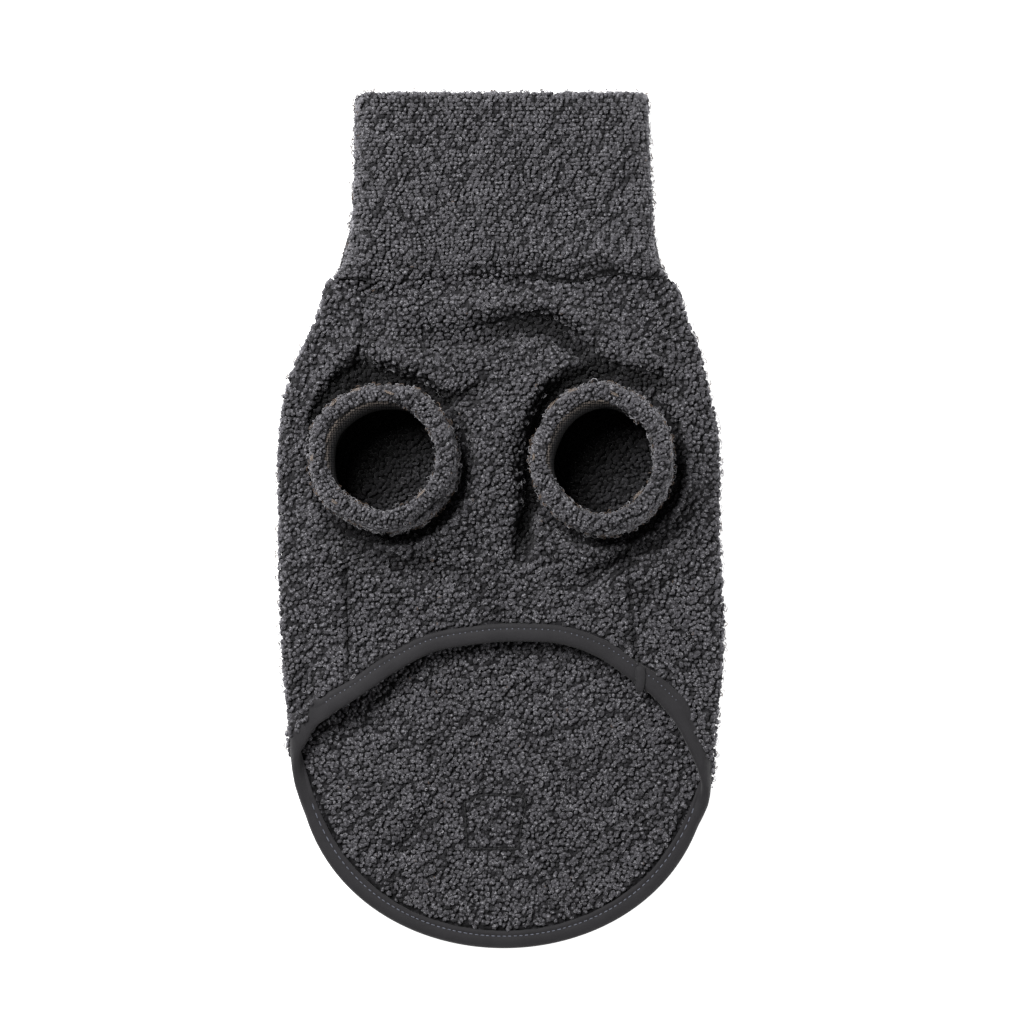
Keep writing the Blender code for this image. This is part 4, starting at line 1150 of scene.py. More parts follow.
def make_panel(name, panel, outer_steps, inner_steps, bare_at):
    """A body panel: its flat outline is filled once for the outer face and once for the inner one
    and laid by the body's formula. Where nubs stand on it, it is their ground, a little below the
    true surface, dark with painted shade. It keeps its full thickness where they don't, and is
    pressed flat inside the tape."""
    outer, outer_faces = filled(panel.outline, outer_steps)
    inner, inner_faces = filled(panel.outline, inner_steps)
    laid, reliefs, piles = [], [], []
    for flat, is_inner in ((outer, False), (inner, True)):
        side, turn = panel.place(flat)
        from_hem = distance_to(flat, panel.hem)
        free = eased((from_hem - TAPE_WIDTH + PRESSED_IN) / PRESSED_OVER)
        depth = EDGE_SINK * (1 - free)
        if is_inner:
            depth = CLOTH + (EDGE_SINK + EDGE_THICKNESS - CLOTH) * (1 - free)
        base = body_point(side, turn, flat[:, 1], depth)
        normal = normals_of(panel.place, flat, depth, -panel.outward if is_inner else panel.outward)
        bare = bare_at(flat, is_inner)
        swell = smooth_noise(base, SWELL_SIZE, GROUND_SEED) - 0.5
        near_seam = np.exp(-((distance_to(flat, panel.seams) / SEAM_GROOVE) ** 2))
        rise = -(GROUND + GROUND_SWELL * swell + SEAM_DEPTH * near_seam) * (1 - bare)
        if is_inner:
            rise = rise + tail_height(flat) * (1 - bare)
        points = base + normal * (rise * free)[:, None]
        points[:, 2] = np.maximum(points[:, 2], LOWEST_CLOTH)
        laid.append(points)
        reliefs.append((1 - bare) * free)
        clear_of_tape_shadow = 1.0
        if is_inner:
            # Painted shadow on the ground under the sleeves' holes
            dark = painted_hole_shadow(base) * (np.abs(base[:, 1] - SLEEVES[0].y) < HOLE_HALF_HEIGHT)
            # Painted shadow line along the tape's inner edge
            clear_of_tape_shadow = eased((from_hem - TAPE_WIDTH - TAPE_SHADOW_LINE) / TAPE_SHADOW_LINE_FADE)
        else:
            # Painted shade on the ground in the folds of the upper layer
            depths = fold_depth(base[:, 0], base[:, 1])
            dark = FOLD_PAINTED_SHADE * eased(depths / FOLD_FULL) * (turn > FOLD_GIRTH / 2)
        piles.append(GROUND_PILE * (1 - dark) * reliefs[-1] * clear_of_tape_shadow)
    points, faces = wall_of(laid[0], outer_faces, laid[1], inner_faces, len(panel.outline))
    pile, relief = np.concatenate(piles), np.concatenate(reliefs)
    piece = new_piece(name, points, faces, [FLEECE], pile, relief)
    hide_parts(name.removeprefix("fleece_"))
    return piece


def make_back():
    """The back panel, which wraps round both side folds, with its nubs outside, inside the tail
    and under the sleeves' holes."""
    lines, seams, hems = [], [], []
    for side in (1.0, -1.0):
        hem = hem_line(np.linspace(0, seam_place(side), 1200), side)
        edges = []
        for part in arc_points(side, inward=False):
            around = side * around_length(side, part[:, 0], part[:, 1])
            edges.append(np.stack([around, part[:, 1]], axis=-1))
        inner_hem = moved_in(hem, side * EDGE_IN)
        inner_hem = inner_hem[np.abs(inner_hem[:, 0]) < abs(edges[0][0, 0]) - CORNER_GAP]
        inner_hem = np.concatenate([inner_hem, edges[0][:1]])
        reach = np.linspace(edges[2][-1][0], 0, 800)
        flat = flat_length(side, NECK_Y)
        turn = np.abs(reach) - flat - FOLD_GIRTH / 2
        upper_share = 2 + (turn - FOLD_GIRTH / 2) / flat
        fold_share = np.minimum(1.5 + turn / FOLD_GIRTH, 2)
        share = np.where(turn > FOLD_GIRTH / 2, upper_share, fold_share)
        neck = np.stack([reach, neck_y(side, share) - SEAM_GAP / 2], axis=-1)
        hems.append(hem)
        seams += [edges[0], edges[2], neck]
        lines.append([resampled(part, FINE) for part in [inner_hem] + edges + [neck]])
    right, left = lines
    loop = right + [part[::-1] for part in left[::-1]]
    outline = np.concatenate([part[:-1] for part in loop])
    hem = resampled(np.concatenate([hems[1][::-1], hems[0]]), HEM_STEP)
    seams = np.concatenate([resampled(part, SEAM_STEP) for part in seams])
    panel = Panel(back_place, -1.0, outline, hem, seams)
    outer_steps = [(FINE, outside), (COARSE, lambda points: ~outside(points))]
    inner_steps = [
        (FINE, in_tail),
        (COARSE, under_hole),
        (HIDDEN, lambda points: ~in_tail(points) & ~under_hole(points)),
    ]
    piece = make_panel("fleece_back", panel, outer_steps, inner_steps, back_bare)
    square = [(resampled(SQUARE, SQUARE_STEP), lambda laid: SQUARE_GROOVE)]
    nubs = [
        panel_nubs("back_nubs", 2, panel, False, outside, [(seams, seam_strength)]),
        panel_nubs("tail_nubs", 3, panel, True, in_tail, square),
        panel_nubs("hole_nubs", 4, panel, True, under_hole, []),
    ]
    return piece, nubs, outline


def make_belly():
    """The belly panel between the long seams, with its nubs."""
    x = np.linspace(-seam_reach(-1.0, -91.0), seam_reach(1.0, -81.0), 1500)
    hem = np.stack([x, scoop_y(x)], axis=-1)
    right, left = (
        [part * np.array([side, 1.0]) for part in arc_points(side, inward=True)]
        for side in (1.0, -1.0)
    )
    scoop = moved_in(hem, EDGE_IN)
    past_left = scoop[:, 0] > left[0][0][0] + BELLY_CORNER_GAP
    scoop = scoop[past_left & (scoop[:, 0] < right[0][0][0] - BELLY_CORNER_GAP)]
    scoop = np.concatenate([left[0][:1], scoop, right[0][:1]])
    x = np.linspace(right[2][-1][0], left[2][-1][0], 900)
    neck = np.stack([x, neck_edge(np.where(x > 0, 1.0, -1.0), np.abs(x))], axis=-1)
    neck[0], neck[-1] = right[2][-1], left[2][-1]
    loop = [scoop] + right + [neck] + [part[::-1] for part in left[::-1]]
    outline = np.concatenate([resampled(part, FINE)[:-1] for part in loop])
    sewn = (right[0], right[2], left[0], left[2], neck)
    seams = np.concatenate([resampled(part, SEAM_STEP) for part in sewn])
    panel = Panel(belly_place, 1.0, outline, resampled(hem, HEM_STEP), seams)
    outer_steps, inner_steps = [(FINE, everywhere)], [(HIDDEN, everywhere)]
    piece = make_panel("fleece_belly", panel, outer_steps, inner_steps, belly_bare)
    nubs = panel_nubs("belly_nubs", 5, panel, False, everywhere, [(seams, seam_strength)])
    return piece, [nubs], outline


# ---- Tubes: sleeves, collar and tape


def grid_blocks(rows, columns, wrap_rows, wrap_columns):
    """Four-sided faces over a grid of points, joined end to end where it wraps."""
    i, j = np.arange(rows - (not wrap_rows)), np.arange(columns - (not wrap_columns))
    i, j = np.meshgrid(i, j, indexing="ij")
    after_i, after_j = (i + 1) % rows, (j + 1) % columns
    corners = [(i, j), (i, after_j), (after_i, after_j), (after_i, j)]
    return np.stack([(row * columns + column).ravel() for row, column in corners], axis=-1)


def grid_normals(points):
    """Unit normals of a grid that closes on itself both ways: the cross product of its central
    differences."""
    down = np.roll(points, -1, axis=0) - np.roll(points, 1, axis=0)
    across = np.roll(points, -1, axis=1) - np.roll(points, 1, axis=1)
    normal = np.cross(down, across)
    return normal / np.maximum(np.linalg.norm(normal, axis=2), 1e-9)[:, :, None]


def smooth_profile(points, steps):
    """A profile through its points: cubics whose slope at each point is half the way between its
    neighbours, with each stretch cut into that many steps."""
    points = np.asarray(points, float)
    before = np.concatenate([points[:1], points[:-2]])
    after = np.concatenate([points[2:], points[-1:]])
    line = []
    for count, last, start, end, following in zip(steps, before, points, points[1:], after):
        t = (np.arange(count) / count)[:, None]
        square = (2 * last - 5 * start + 4 * end - following) * t**2
        cube = (3 * start - last - 3 * end + following) * t**3
        line.append(0.5 * (2 * start + (end - last) * t + square + cube))
    return np.concatenate(line + [points[-1:]])


def sleeve_axis(sleeve, z):
    """The middle of a sleeve at a height: it leans evenly from its armhole to its rim."""
    share = (z - LAID_HEIGHT) / (sleeve.rim_z - LAID_HEIGHT)
    x = sleeve.x + (sleeve.rim_x - sleeve.x) * share
    return x, sleeve.y + (sleeve.rim_y - sleeve.y) * share


# A sleeve's columns of points, the rough height and radius that its wall's rows are spaced by, and
# the slow noise round it that raises its rim and swells its girth
SLEEVE_COLUMNS = 144
WALL_HEIGHT = 34
WALL_RADIUS = 36
WALL_STEP = 1.3
WAVER_ROUND = 9
WAVER_SIZE = 4.0
WAVER_APART = 7.0
RIM_WAVER = 3.0
GIRTH_WAVER = 0.055
GIRTH_FULL = 0.6

# Points of the wall's table between which the cuff sags to the lower right, and the two where its
# pile ends: the first towards the upper left, where the knit backing shows, and the second
# elsewhere
WIDEST_POINT = 4
SAG_START = 9
SHORT_END = 10
LONG_END = 12
SAG_STOP = 14
SAG_STOP_ROWS = 4.0
KNIT_ROWS = 2.0
GROUND_ROWS = 2.0


def make_sleeve(sleeve, seed):
    """A leaning tube whose wall follows its table up, over the rounded rim and down inside the
    turned cuff."""
    angles = (np.arange(SLEEVE_COLUMNS) * 2 * math.pi / SLEEVE_COLUMNS)[None, :]
    knots = [(point.rise * WALL_HEIGHT, point.radius * WALL_RADIUS) for point in SLEEVE_WALL]
    steps = [max(1, int(round(math.dist(a, b) / WALL_STEP))) for a, b in zip(knots, knots[1:])]
    at = [sum(steps[:point]) for point in range(len(SLEEVE_WALL))]
    profile = smooth_profile(SLEEVE_WALL, steps)
    rise, radius = profile[:, :1], profile[:, 1:]
    edge_x = sleeve.x + ARMHOLE_RADIUS * np.cos(angles)
    edge_y = sleeve.y + ARMHOLE_RADIUS * np.sin(angles)
    edge_z = LAID_HEIGHT - CLOTH + lift(edge_x, edge_y)
    around = [np.cos(angles) * WAVER_ROUND, np.sin(angles) * WAVER_ROUND]
    around = np.stack(around + [0 * angles + seed * WAVER_APART], axis=-1).reshape(-1, 3)
    waver = smooth_noise(around, WAVER_SIZE, seed).reshape(1, -1) - 0.5
    z = edge_z + (sleeve.rim_z + RIM_WAVER * waver - edge_z) * rise
    middle_x, middle_y = sleeve_axis(sleeve, z)
    swell = 1 + GIRTH_WAVER * waver * eased(rise / GIRTH_FULL)
    row = np.arange(len(rise))[:, None]
    sag = CUFF_SAG * eased((row - at[SAG_START]) / (at[LONG_END] - at[SAG_START]))
    sag = sag * eased((at[SAG_STOP] - row) / SAG_STOP_ROWS)
    x = middle_x + sleeve.reach_x * radius * swell * np.cos(angles) + sag
    y = middle_y + sleeve.reach_y * radius * swell * np.sin(angles) - sag
    base = np.stack([x, y, z], axis=-1)
    normal = grid_normals(base)
    from_middle = np.stack([x - middle_x, y - middle_y, 0 * z], axis=-1)
    if (normal[at[WIDEST_POINT]] * from_middle[at[WIDEST_POINT]]).sum() < 0:
        normal = -normal
    bare = eased((1 + np.cos(angles - BARE_ANGLE)) / 2 * 3 - 1.6)
    cuff_end = at[LONG_END] - (at[LONG_END] - at[SHORT_END]) * bare
    knit = eased((row - cuff_end) / KNIT_ROWS)
    sunk = GROUND * (1 - knit) * eased((row + 1) / GROUND_ROWS)
    points = (base - normal * sunk[:, :, None]).reshape(-1, 3)
    block = grid_blocks(len(rise), SLEEVE_COLUMNS, True, True)
    shown = (row > cuff_end).astype(int).ravel()
    relief = (1 - knit).ravel()
    piece = new_piece("fleece_sleeve_" + sleeve.side, points, [block], [FLEECE, BACKING],
                      GROUND_PILE * relief, relief, shown)
    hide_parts("sleeve_" + sleeve.side)

    def keep(row, column):
        return row < cuff_end[0, np.round(column).astype(int) % SLEEVE_COLUMNS] + 0.4

    name = "sleeve_nubs_" + sleeve.side
    last = at[LONG_END]
    nubs = grid_nubs(name, base, normal, 1, last, keep, FLEECE, "fleece", seed, **SLEEVE_PILE)
    return piece, [nubs, make_cuff_threads(sleeve, base)]


def make_cuff_threads(sleeve, base):
    """Ends of the cuff's sewing that show between the nubs: a few fine threads side by side at each
    place, laid on the highest of the wall's nearest points."""
    cloud = base.reshape(-1, 3)
    random = np.random.default_rng(int(abs(sleeve.x)))
    starts, ends = [], []
    for dash in CUFF_THREADS:
        if (dash.x < 0) != (sleeve.x < 0):
            continue
        way = np.array([dash.to_x - dash.x, dash.to_y - dash.y])
        across = np.array([-way[1], way[0]]) / np.hypot(*way)
        for k in range(CUFF_THREAD_COUNT):
            shift = across * (k - 1) * THREADS_APART + random.uniform(*THREAD_JITTER, 2)
            cut = random.uniform(*THREAD_CUT, 2)
            for spots, share in ((starts, cut[0]), (ends, 1 - cut[1])):
                place = np.array([dash.x, dash.y]) + way * share + shift
                apart = np.hypot(*(cloud[:, :2] - place).T)
                near = cloud[apart < apart.min() + THREAD_NEAR]
                spots.append([*place, near[:, 2].max() + THREAD_UP])
    points, faces = capsules(np.array(starts), np.array(ends), THREAD_RADIUS, 5)
    return new_piece("cuff_threads_" + sleeve.side, points, faces, [CUFF_THREAD])


def collar_point(side, share, along, depth):
    """A point of the collar. share runs round it, 0 at the middle of the back, 1 to 2 round the
    fold and 3 at the middle of the belly; along runs from the neck seam to the upper edge; depth
    is in from the outer face, as a share of the wall."""
    start = neck_y(side, share) - NECK_LAP
    y = start + (COLLAR_TOP - start) * along
    height = through(COLLAR, along, "height", "share")
    wall = through(COLLAR, along, "wall", "share")
    radius = height / 2
    flat = by_side(COLLAR, side, along, "share") - radius
    angle = (np.clip(share, 1, 2) - 1.5) * math.pi
    reach = radius - depth * wall
    x = np.select([share < 1, share > 2], [share * flat, (3 - share) * flat], flat)
    x = side * (x + reach * np.cos(angle) * ((share >= 1) & (share <= 2)))
    z = radius + reach * np.sin(angle)
    puff = sum(mound_height(x, y, mound) for mound in COLLAR_MOUNDS)
    z = z + puff * eased(share - 1) * eased((share - 1.5) * 2) * eased(along * PUFF_FROM_SEAM)
    return np.stack([x, y, z], axis=-1)


# The collar's rows and columns of points: up the outer layer, over the fold, down the inner layer,
# and through the slot between the two. Its pile goes some rows down inside. Its underside is bare.
ROWS_UP = 56
ROWS_OVER = 9
ROWS_DOWN = 42
ROWS_INSIDE = 14
COLUMNS_UNDER = 24
COLUMNS_FOLD = 23
COLUMNS_ABOVE = 46
SLOT_DEPTHS = (0.78, 0.55, 0.55, 0.55, 0.45, 0.45, 0.45, 0.22)
PILE_SHARE = 1.12
NUB_SHARE = 1.15
FIRST_ROW_LEFT = 0.2
FIRST_ROW_RIGHT = 0.9


def make_collar():
    """The collar: its section runs up the outer layer, over the fold at the upper edge, down the
    inner layer and through the narrow slot between the two, and is carried round the neck. Nubs
    stand outside it and on the part of the inside that shows."""
    stretches = ((0, 1, COLUMNS_UNDER), (1, 2, COLUMNS_FOLD), (2, 3, COLUMNS_ABOVE))
    half = np.concatenate([np.linspace(*stretch)[:-1] for stretch in stretches])
    share = np.concatenate([half, [3.0], half[:0:-1]])[None, :]
    side = np.concatenate([np.ones(len(half)), [1.0], -np.ones(len(half) - 1)])[None, :]
    length = COLLAR_TOP - NECK_Y
    last = 1 - COLLAR_ROUND / length
    up = np.linspace(0, last, ROWS_UP)
    turn = np.radians(np.linspace(0, 180, ROWS_OVER))[1:-1]
    down = np.linspace(last, 0, ROWS_DOWN)
    slot = np.array([0.0, 0.0, last / 2, last, last, last / 2, 0.0, 0.0])
    along = np.concatenate([up, last + np.sin(turn) * COLLAR_ROUND / length, down, slot])[:, None]
    depth = np.concatenate([0 * up, 0.5 - 0.5 * np.cos(turn), 0 * down + 1, SLOT_DEPTHS])[:, None]
    side, share, along, depth = np.broadcast_arrays(side, share, along, depth)
    base = collar_point(side, share, along, depth)
    normal = grid_normals(base)
    if normal[ROWS_UP // 2, :, 2][share[0] > 2.5].sum() < 0:
        normal = -normal
    inside_end = ROWS_UP + len(turn) + ROWS_INSIDE
    row = np.arange(len(along))[:, None]
    bare = 1 - eased((share - PILE_SHARE) * 8) * eased((inside_end - row) / 4)
    near_seam = np.exp(-((along * length / SEAM_GROOVE) ** 2))
    sunk = (GROUND + SEAM_DEPTH * near_seam) * (1 - bare)
    points = (base - normal * sunk[:, :, None]).reshape(-1, 3)
    points[:, 2] = np.maximum(points[:, 2], LOWEST_CLOTH)
    relief = (1 - bare).ravel()
    piece = new_piece("fleece_collar", points, [grid_blocks(*share.shape, True, True)],
                      [COLLAR_FLEECE], GROUND_PILE * relief, relief)
    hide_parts("collar")

    def keep(row, column):
        near = np.round(column).astype(int) % share.shape[1]
        at_left = (side[0, near] < 0) | (share[0, near] > 2.85)
        from_seam = row > np.where(at_left, FIRST_ROW_LEFT, FIRST_ROW_RIGHT)
        return (row > ROWS_UP - 3) | (share[0, near] > NUB_SHARE) & from_seam

    nubs = grid_nubs("collar_nubs", base, normal, 0, inside_end, keep, COLLAR_FLEECE,
                     "fleece_collar", 7)
    return piece, [nubs]


# The tape's folded section: pairs of a distance in from the hem's fold and a depth from the outer
# face. It runs round the outside, with a sewn groove on each face, and back through the fold,
# where the cloth's edge is.
TAPE_GROOVE = 0.22
TAPE_CLEARANCE = 0.1
TAPE_HALF = (
    (TAPE_WIDTH, TAPE_WALL * 0.45), (TAPE_WIDTH - 0.35, 0.05), (TAPE_WIDTH - 2.2, 0.0),
    (TAPE_WIDTH - 2.6, TAPE_GROOVE), (TAPE_WIDTH - 3.0, 0.0), (4.0, -0.1), (2.0, 0.05),
)
TAPE_TURN = ((0.9, 0.10), (0.25, 0.27), (0.0, 0.5), (0.25, 0.73), (0.9, 0.90))
TAPE_INSIDE = (
    (TAPE_WIDTH - 0.35, TAPE_WALL), (TAPE_WIDTH * 0.6, TAPE_WALL + TAPE_CLEARANCE),
    (1.6, TAPE_WALL + TAPE_CLEARANCE),
)
TAPE_SECTION = (
    TAPE_HALF
    + tuple((into, TAPE_THICKNESS * share) for into, share in TAPE_TURN)
    + tuple((into, TAPE_THICKNESS - depth) for into, depth in TAPE_HALF[::-1])
    + tuple((into, TAPE_THICKNESS - depth) for into, depth in TAPE_INSIDE)
    + TAPE_INSIDE[::-1]
)


def hem_loop():
    """The whole hem laid out flat round the back's middle, from the joint at the right seam, over
    the belly, down the left side, round the tail and back to the joint. On the belly it runs past
    the seams, at distances along the cloth that go on round the garment."""
    joint = seam_place(1.0)
    stretches = []
    for side, start, end in ((1.0, joint, 3.0), (-1.0, 3.0, 0.0), (1.0, 0.0, joint)):
        count = int(abs(end - start) * 4000)
        stretches.append((np.full(count, side), np.linspace(start, end, count)))
    side = np.concatenate([stretch[0] for stretch in stretches])
    places = np.concatenate([stretch[1] for stretch in stretches])
    turn, y = hem_point(side, places)
    return side, places, turn, y


def hem_points(into, depth, step):
    """Points along the hem, a step apart, at distances in from its fold and depths from the outer
    face. At each, the way in is square to the hem round the tail and straight up the garment
    elsewhere."""
    side, places, turn, y = hem_loop()
    line = body_point(side, turn, y, np.full(len(y), TAPE_THICKNESS / 2))
    along = np.concatenate([[0.0], np.cumsum(np.linalg.norm(np.diff(line, axis=0), axis=1))])
    count = int(round(along[-1] / step))
    at = np.linspace(0, along[-1], count + 1)
    index = np.interp(at, along, np.arange(len(along)))
    nearest = np.round(index).astype(int)
    side, places = side[nearest], np.interp(at, along, places)
    turn, y = hem_point(side, places)
    nudge = 0.004
    before_turn, before_y = hem_point(side, places - nudge)
    after_turn, after_y = hem_point(side, places + nudge)
    length = np.hypot(after_turn - before_turn, after_y - before_y)
    square_turn, square_y = -(after_y - before_y) / length, (after_turn - before_turn) / length
    weight = np.where(places < 1, eased(2 * places - 1), 1.0)
    up = 5
    natural = (flat_length(side, y + up) - flat_length(side, y)) * np.where(places > 2, 1.0, 0.0)
    follow = np.hypot(natural, up)
    way_turn = square_turn * (1 - weight) + natural / follow * weight
    way_y = square_y * (1 - weight) + up / follow * weight
    straight = way_turn * square_turn + way_y * square_y
    way_turn, way_y = (way_turn / straight)[:, None], (way_y / straight)[:, None]
    into = np.broadcast_to(into, (len(side), into.shape[-1]))
    turn, y = turn[:, None] + way_turn * into, y[:, None] + way_y * into
    return body_point(side[:, None] + 0 * into, turn, y, depth), places, at


LOWEST_TRIM = 0.02


def make_tape():
    """The hem tape: its folded section follows the hem from the belly's side of the right seam all
    the way round. Its width wavers slowly."""
    into, depth = np.array(TAPE_SECTION).T[:, None, :]
    at = hem_points(into[:, :1], depth[:, :1], 1.0)[-1]
    waver = np.stack([at, 0 * at, 0 * at], axis=-1)
    wide = 1 + 0.05 * (smooth_noise(waver, 17.0, 3) - 0.5)
    wide = wide + 0.03 * (smooth_noise(waver, 5.0, 4) - 0.5)
    points = hem_points(into * wide[:, None], depth, 1.0)[0]
    points[:, :, 2] = np.maximum(points[:, :, 2], LOWEST_TRIM)
    steps, columns = points.shape[:2]
    start = np.arange(columns)
    cap = np.stack([start[:-2] * 0, start[2:], start[1:-1]], axis=-1)
    faces = [grid_blocks(steps, columns, False, True), cap]
    faces.append(cap[:, [0, 2, 1]] + (steps - 1) * columns)
    piece = new_piece("hem_tape", points.reshape(-1, 3), faces, [TAPE])
    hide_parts("hem_binding")
    return piece


def nub_tops(nubs):
    """The top of each nub of a piece, in millimetres, with its normal and its colour value."""
    mesh = nubs.data
    total = len(mesh.vertices)
    points, normals, pile = np.empty(total * 3), np.empty(total * 3), np.empty(total)
    mesh.vertices.foreach_get("co", points)
    mesh.vertex_normals.foreach_get("vector", normals)
    mesh.attributes["pile"].data.foreach_get("value", pile)
    tops = slice(0, None, 1 + 2 * NUB_SIDES)
    return points.reshape(-1, 3)[tops] / MM, normals.reshape(-1, 3)[tops], pile[tops]


def new_curls(nubs, seed, each=CURLS_EACH):
    """Loose loops of fibre on the tops of nubs. Each is a thin three-sided tube along part of a
    circle: its plane holds one random way along the cloth and a second way, tilted up from the
    cloth. A loop that comes out lightest is brown."""
    points, normals, pile = nub_tops(nubs)
    random = np.random.default_rng(seed)
    count = int(len(points) * each)
    sideways = eased((SIDEWAYS - normals[:, 2]) / SIDEWAYS)
    weight = 1 + FRINGE * sideways
    chosen = random.choice(len(points), count, p=weight / weight.sum())
    points, normals = points[chosen], normals[chosen]
    pile, sideways = pile[chosen], sideways[chosen]
    first, level = ways_across(normals, random)
    moved = first * random.uniform(-1, 1, (count, 1))
    moved = moved + level * random.uniform(-1, 1, (count, 1))
    points = points + moved * CURL_APART
    tilt = random.uniform(*CURL_TILT, (count, 1))
    second = level * np.cos(tilt) + normals * np.sin(tilt)
    side = np.cross(first, second)
    longer = (1 + FRINGE_LONGER * sideways)[:, None, None]
    reach = random.uniform(*CURL_SIZE, (count, 1, 1)) * longer
    start = random.uniform(*CURL_START, (count, 1))
    sweep = random.uniform(*CURL_SWEEP, (count, 1))
    angle = (start + sweep * np.linspace(0, 1, CURL_STEPS + 1)[None, :])[:, :, None]
    out = np.cos(angle) * first[:, None, :] + np.sin(angle) * second[:, None, :]
    sunk = random.uniform(*CURL_SUNK, (count, 1)) - FRINGE_OUT * sideways[:, None]
    line = (points - normals * sunk)[:, None, :] + reach * out
    thick = CURL_THICK * random.uniform(*CURL_THICKNESS, (count, 1, 1))
    thick = thick * np.array([CURL_END] + [1.0] * (CURL_STEPS - 1) + [CURL_END])[None, :, None]
    tube = []
    for corner in range(3):
        turn = corner * 2 * math.pi / 3
        tube.append(line + thick * (math.cos(turn) * out + math.sin(turn) * side[:, None, :]))
    tube = np.stack(tube, axis=2).reshape(-1, 3)
    tube[:, 2] = np.maximum(tube[:, 2], LOWEST_TRIM)
    total = (CURL_STEPS + 1) * 3
    walls = grid_blocks(CURL_STEPS + 1, 3, False, True)
    ends = np.array([[2, 1, 0], [total - 3, total - 2, total - 1]])
    # A curl takes on its nub's colour value, so the nubs' painted shade and painted side light
    # carry over to it, and the fringe's painted light is added
    lightness = np.minimum(pile, 1.0) ** DARKER
    shade = random.uniform(*CURL_SHADE, count) * lightness + FRINGE_PAINTED_LIGHT * sideways
    shade = np.minimum(shade, BROWN_FROM + (1 - BROWN_FROM) * lightness)
    name = nubs.name.replace("nubs", "curls")
    faces = repeated(count, total, walls, ends)
    return new_piece(name, tube, faces, [FIBRE], np.repeat(shade, total))


# Sewing: where a row of stitches runs on the tape's face at a depth, how long its stitches are,
# and the part of the hem that shows them
StitchRow = namedtuple("StitchRow", "depth length first last")
TAIL_STITCH = StitchRow(TAPE_THICKNESS, 1.9, 0.0, 0.98)
SCOOP_STITCH = StitchRow(0.0, 0.75, 2.1, 3.0)
STITCH_IN = 6.4
STITCH_PITCH = 2.95
STITCH_JITTER = 0.15
STITCH_LENGTH = Range(0.85, 1.1)
STITCH_RADIUS = 0.27
STITCH_START = 2.0
STITCH_END = 3.0
BAR_PROFILE = ((0.0, 0.35), (0.14, 0.85), (0.5, 1.0), (0.86, 0.85), (1.0, 0.35))
BAR_FLAT = 0.8


def capsules(starts, ends, radius, sides=6):
    """Short thread stitches: each is a round bar from one point to another, narrowed at both
    ends."""
    along = ends - starts
    length = np.linalg.norm(along, axis=1)[:, None]
    along = along / length
    side = np.cross(along, np.array([0.0, 0.0, 1.0]))
    side /= np.linalg.norm(side, axis=1)[:, None]
    up = np.cross(side, along)
    rows = []
    for share, thick in BAR_PROFILE:
        middle = starts + along * length * share
        for k in range(sides):
            turn = 2 * math.pi * k / sides
            out = math.cos(turn) * side + BAR_FLAT * math.sin(turn) * up
            rows.append(middle + radius * thick * out)
    points = np.stack(rows, axis=1).reshape(-1, 3)
    rings = len(BAR_PROFILE)
    walls = grid_blocks(rings, sides, False, True)
    ring = np.arange(sides)
    cap = np.stack([ring[:1].repeat(sides - 2), ring[2:], ring[1:-1]], axis=-1)
    caps = np.concatenate([cap, cap[:, ::-1] + (rings - 1) * sides])
    return points, repeated(len(starts), rings * sides, walls, caps)


def make_tape_stitches():
    """One row of stitches through the tape: long ones show on the tail, short ones on the scoop.
    Both faces of the tape carry them."""
    blocks, clouds = [], []
    total = 0
    for row in (TAIL_STITCH, SCOOP_STITCH):
        line, places, at = hem_points(np.array([[STITCH_IN]]), np.array([[row.depth]]), 0.05)
        line = line[:, 0, :]
        starts = np.arange(STITCH_START, at[-1] - STITCH_END, STITCH_PITCH)
        random = np.random.default_rng(5)
        starts = starts + random.uniform(-STITCH_JITTER, STITCH_JITTER, len(starts))
        place_there = np.interp(starts, at, places)
        starts = starts[(place_there >= row.first) & (place_there <= row.last)]
        long = row.length * random.uniform(*STITCH_LENGTH, len(starts))
        begin = np.stack([np.interp(starts, at, line[:, k]) for k in range(3)], axis=-1)
        end = np.stack([np.interp(starts + long, at, line[:, k]) for k in range(3)], axis=-1)
        points, faces = capsules(begin, end, STITCH_RADIUS)
        points[:, 2] = np.maximum(points[:, 2], LOWEST_TRIM)
        clouds.append(points)
        blocks += [face + total for face in faces]
        total += len(points)
    return new_piece("tape_stitches", np.concatenate(clouds), blocks, [THREAD])


DARK_RADIUS = 0.36
DARK_SHARE = 0.86


def sewn_line(name, line, pitch, up):
    """Dark stitches end to end along a line over the tail or the upper layer, each a little short
    of the pitch."""
    at = resampled(line[:, :2], pitch)
    height = np.interp(np.linspace(0, 1, len(at)), np.linspace(0, 1, len(line)), line[:, 2])
    points = np.column_stack([at, height + up])
    ends = points[:-1] + DARK_SHARE * (points[1:] - points[:-1])
    cloud, faces = capsules(points[:-1], ends, DARK_RADIUS)
    return new_piece(name, cloud, faces, [DARK_THREAD_AND_SHADOW])


def make_square_stitches():
    """The plain square sewn on the tail, down in its groove."""
    height = CLOTH - GROUND + tail_height(SQUARE)
    line = np.column_stack([SQUARE, height])
    return sewn_line("square_stitches", line, SQUARE_STITCH, SQUARE_STITCH_UP)


JOINT_LINE = np.array([(68.2, -68.6), (68.2, -72.5), (67.4, -77.5), (66.6, -82.5)])
JOINT_STITCH = 2.2
JOINT_STITCH_UP = 0.05
LIP_LINE = np.array([(69.4, -72.2), (69.6, -78.5), (69.0, -86.0)])
LIP_WIDE = 2.7
LIP_HIGH = 1.5
LIP_NARROWS = 0.25
LIP_FLAT = 0.7
LIP_UP = 0.1
LIP_ROWS = 25
LIP_SIDES = 20


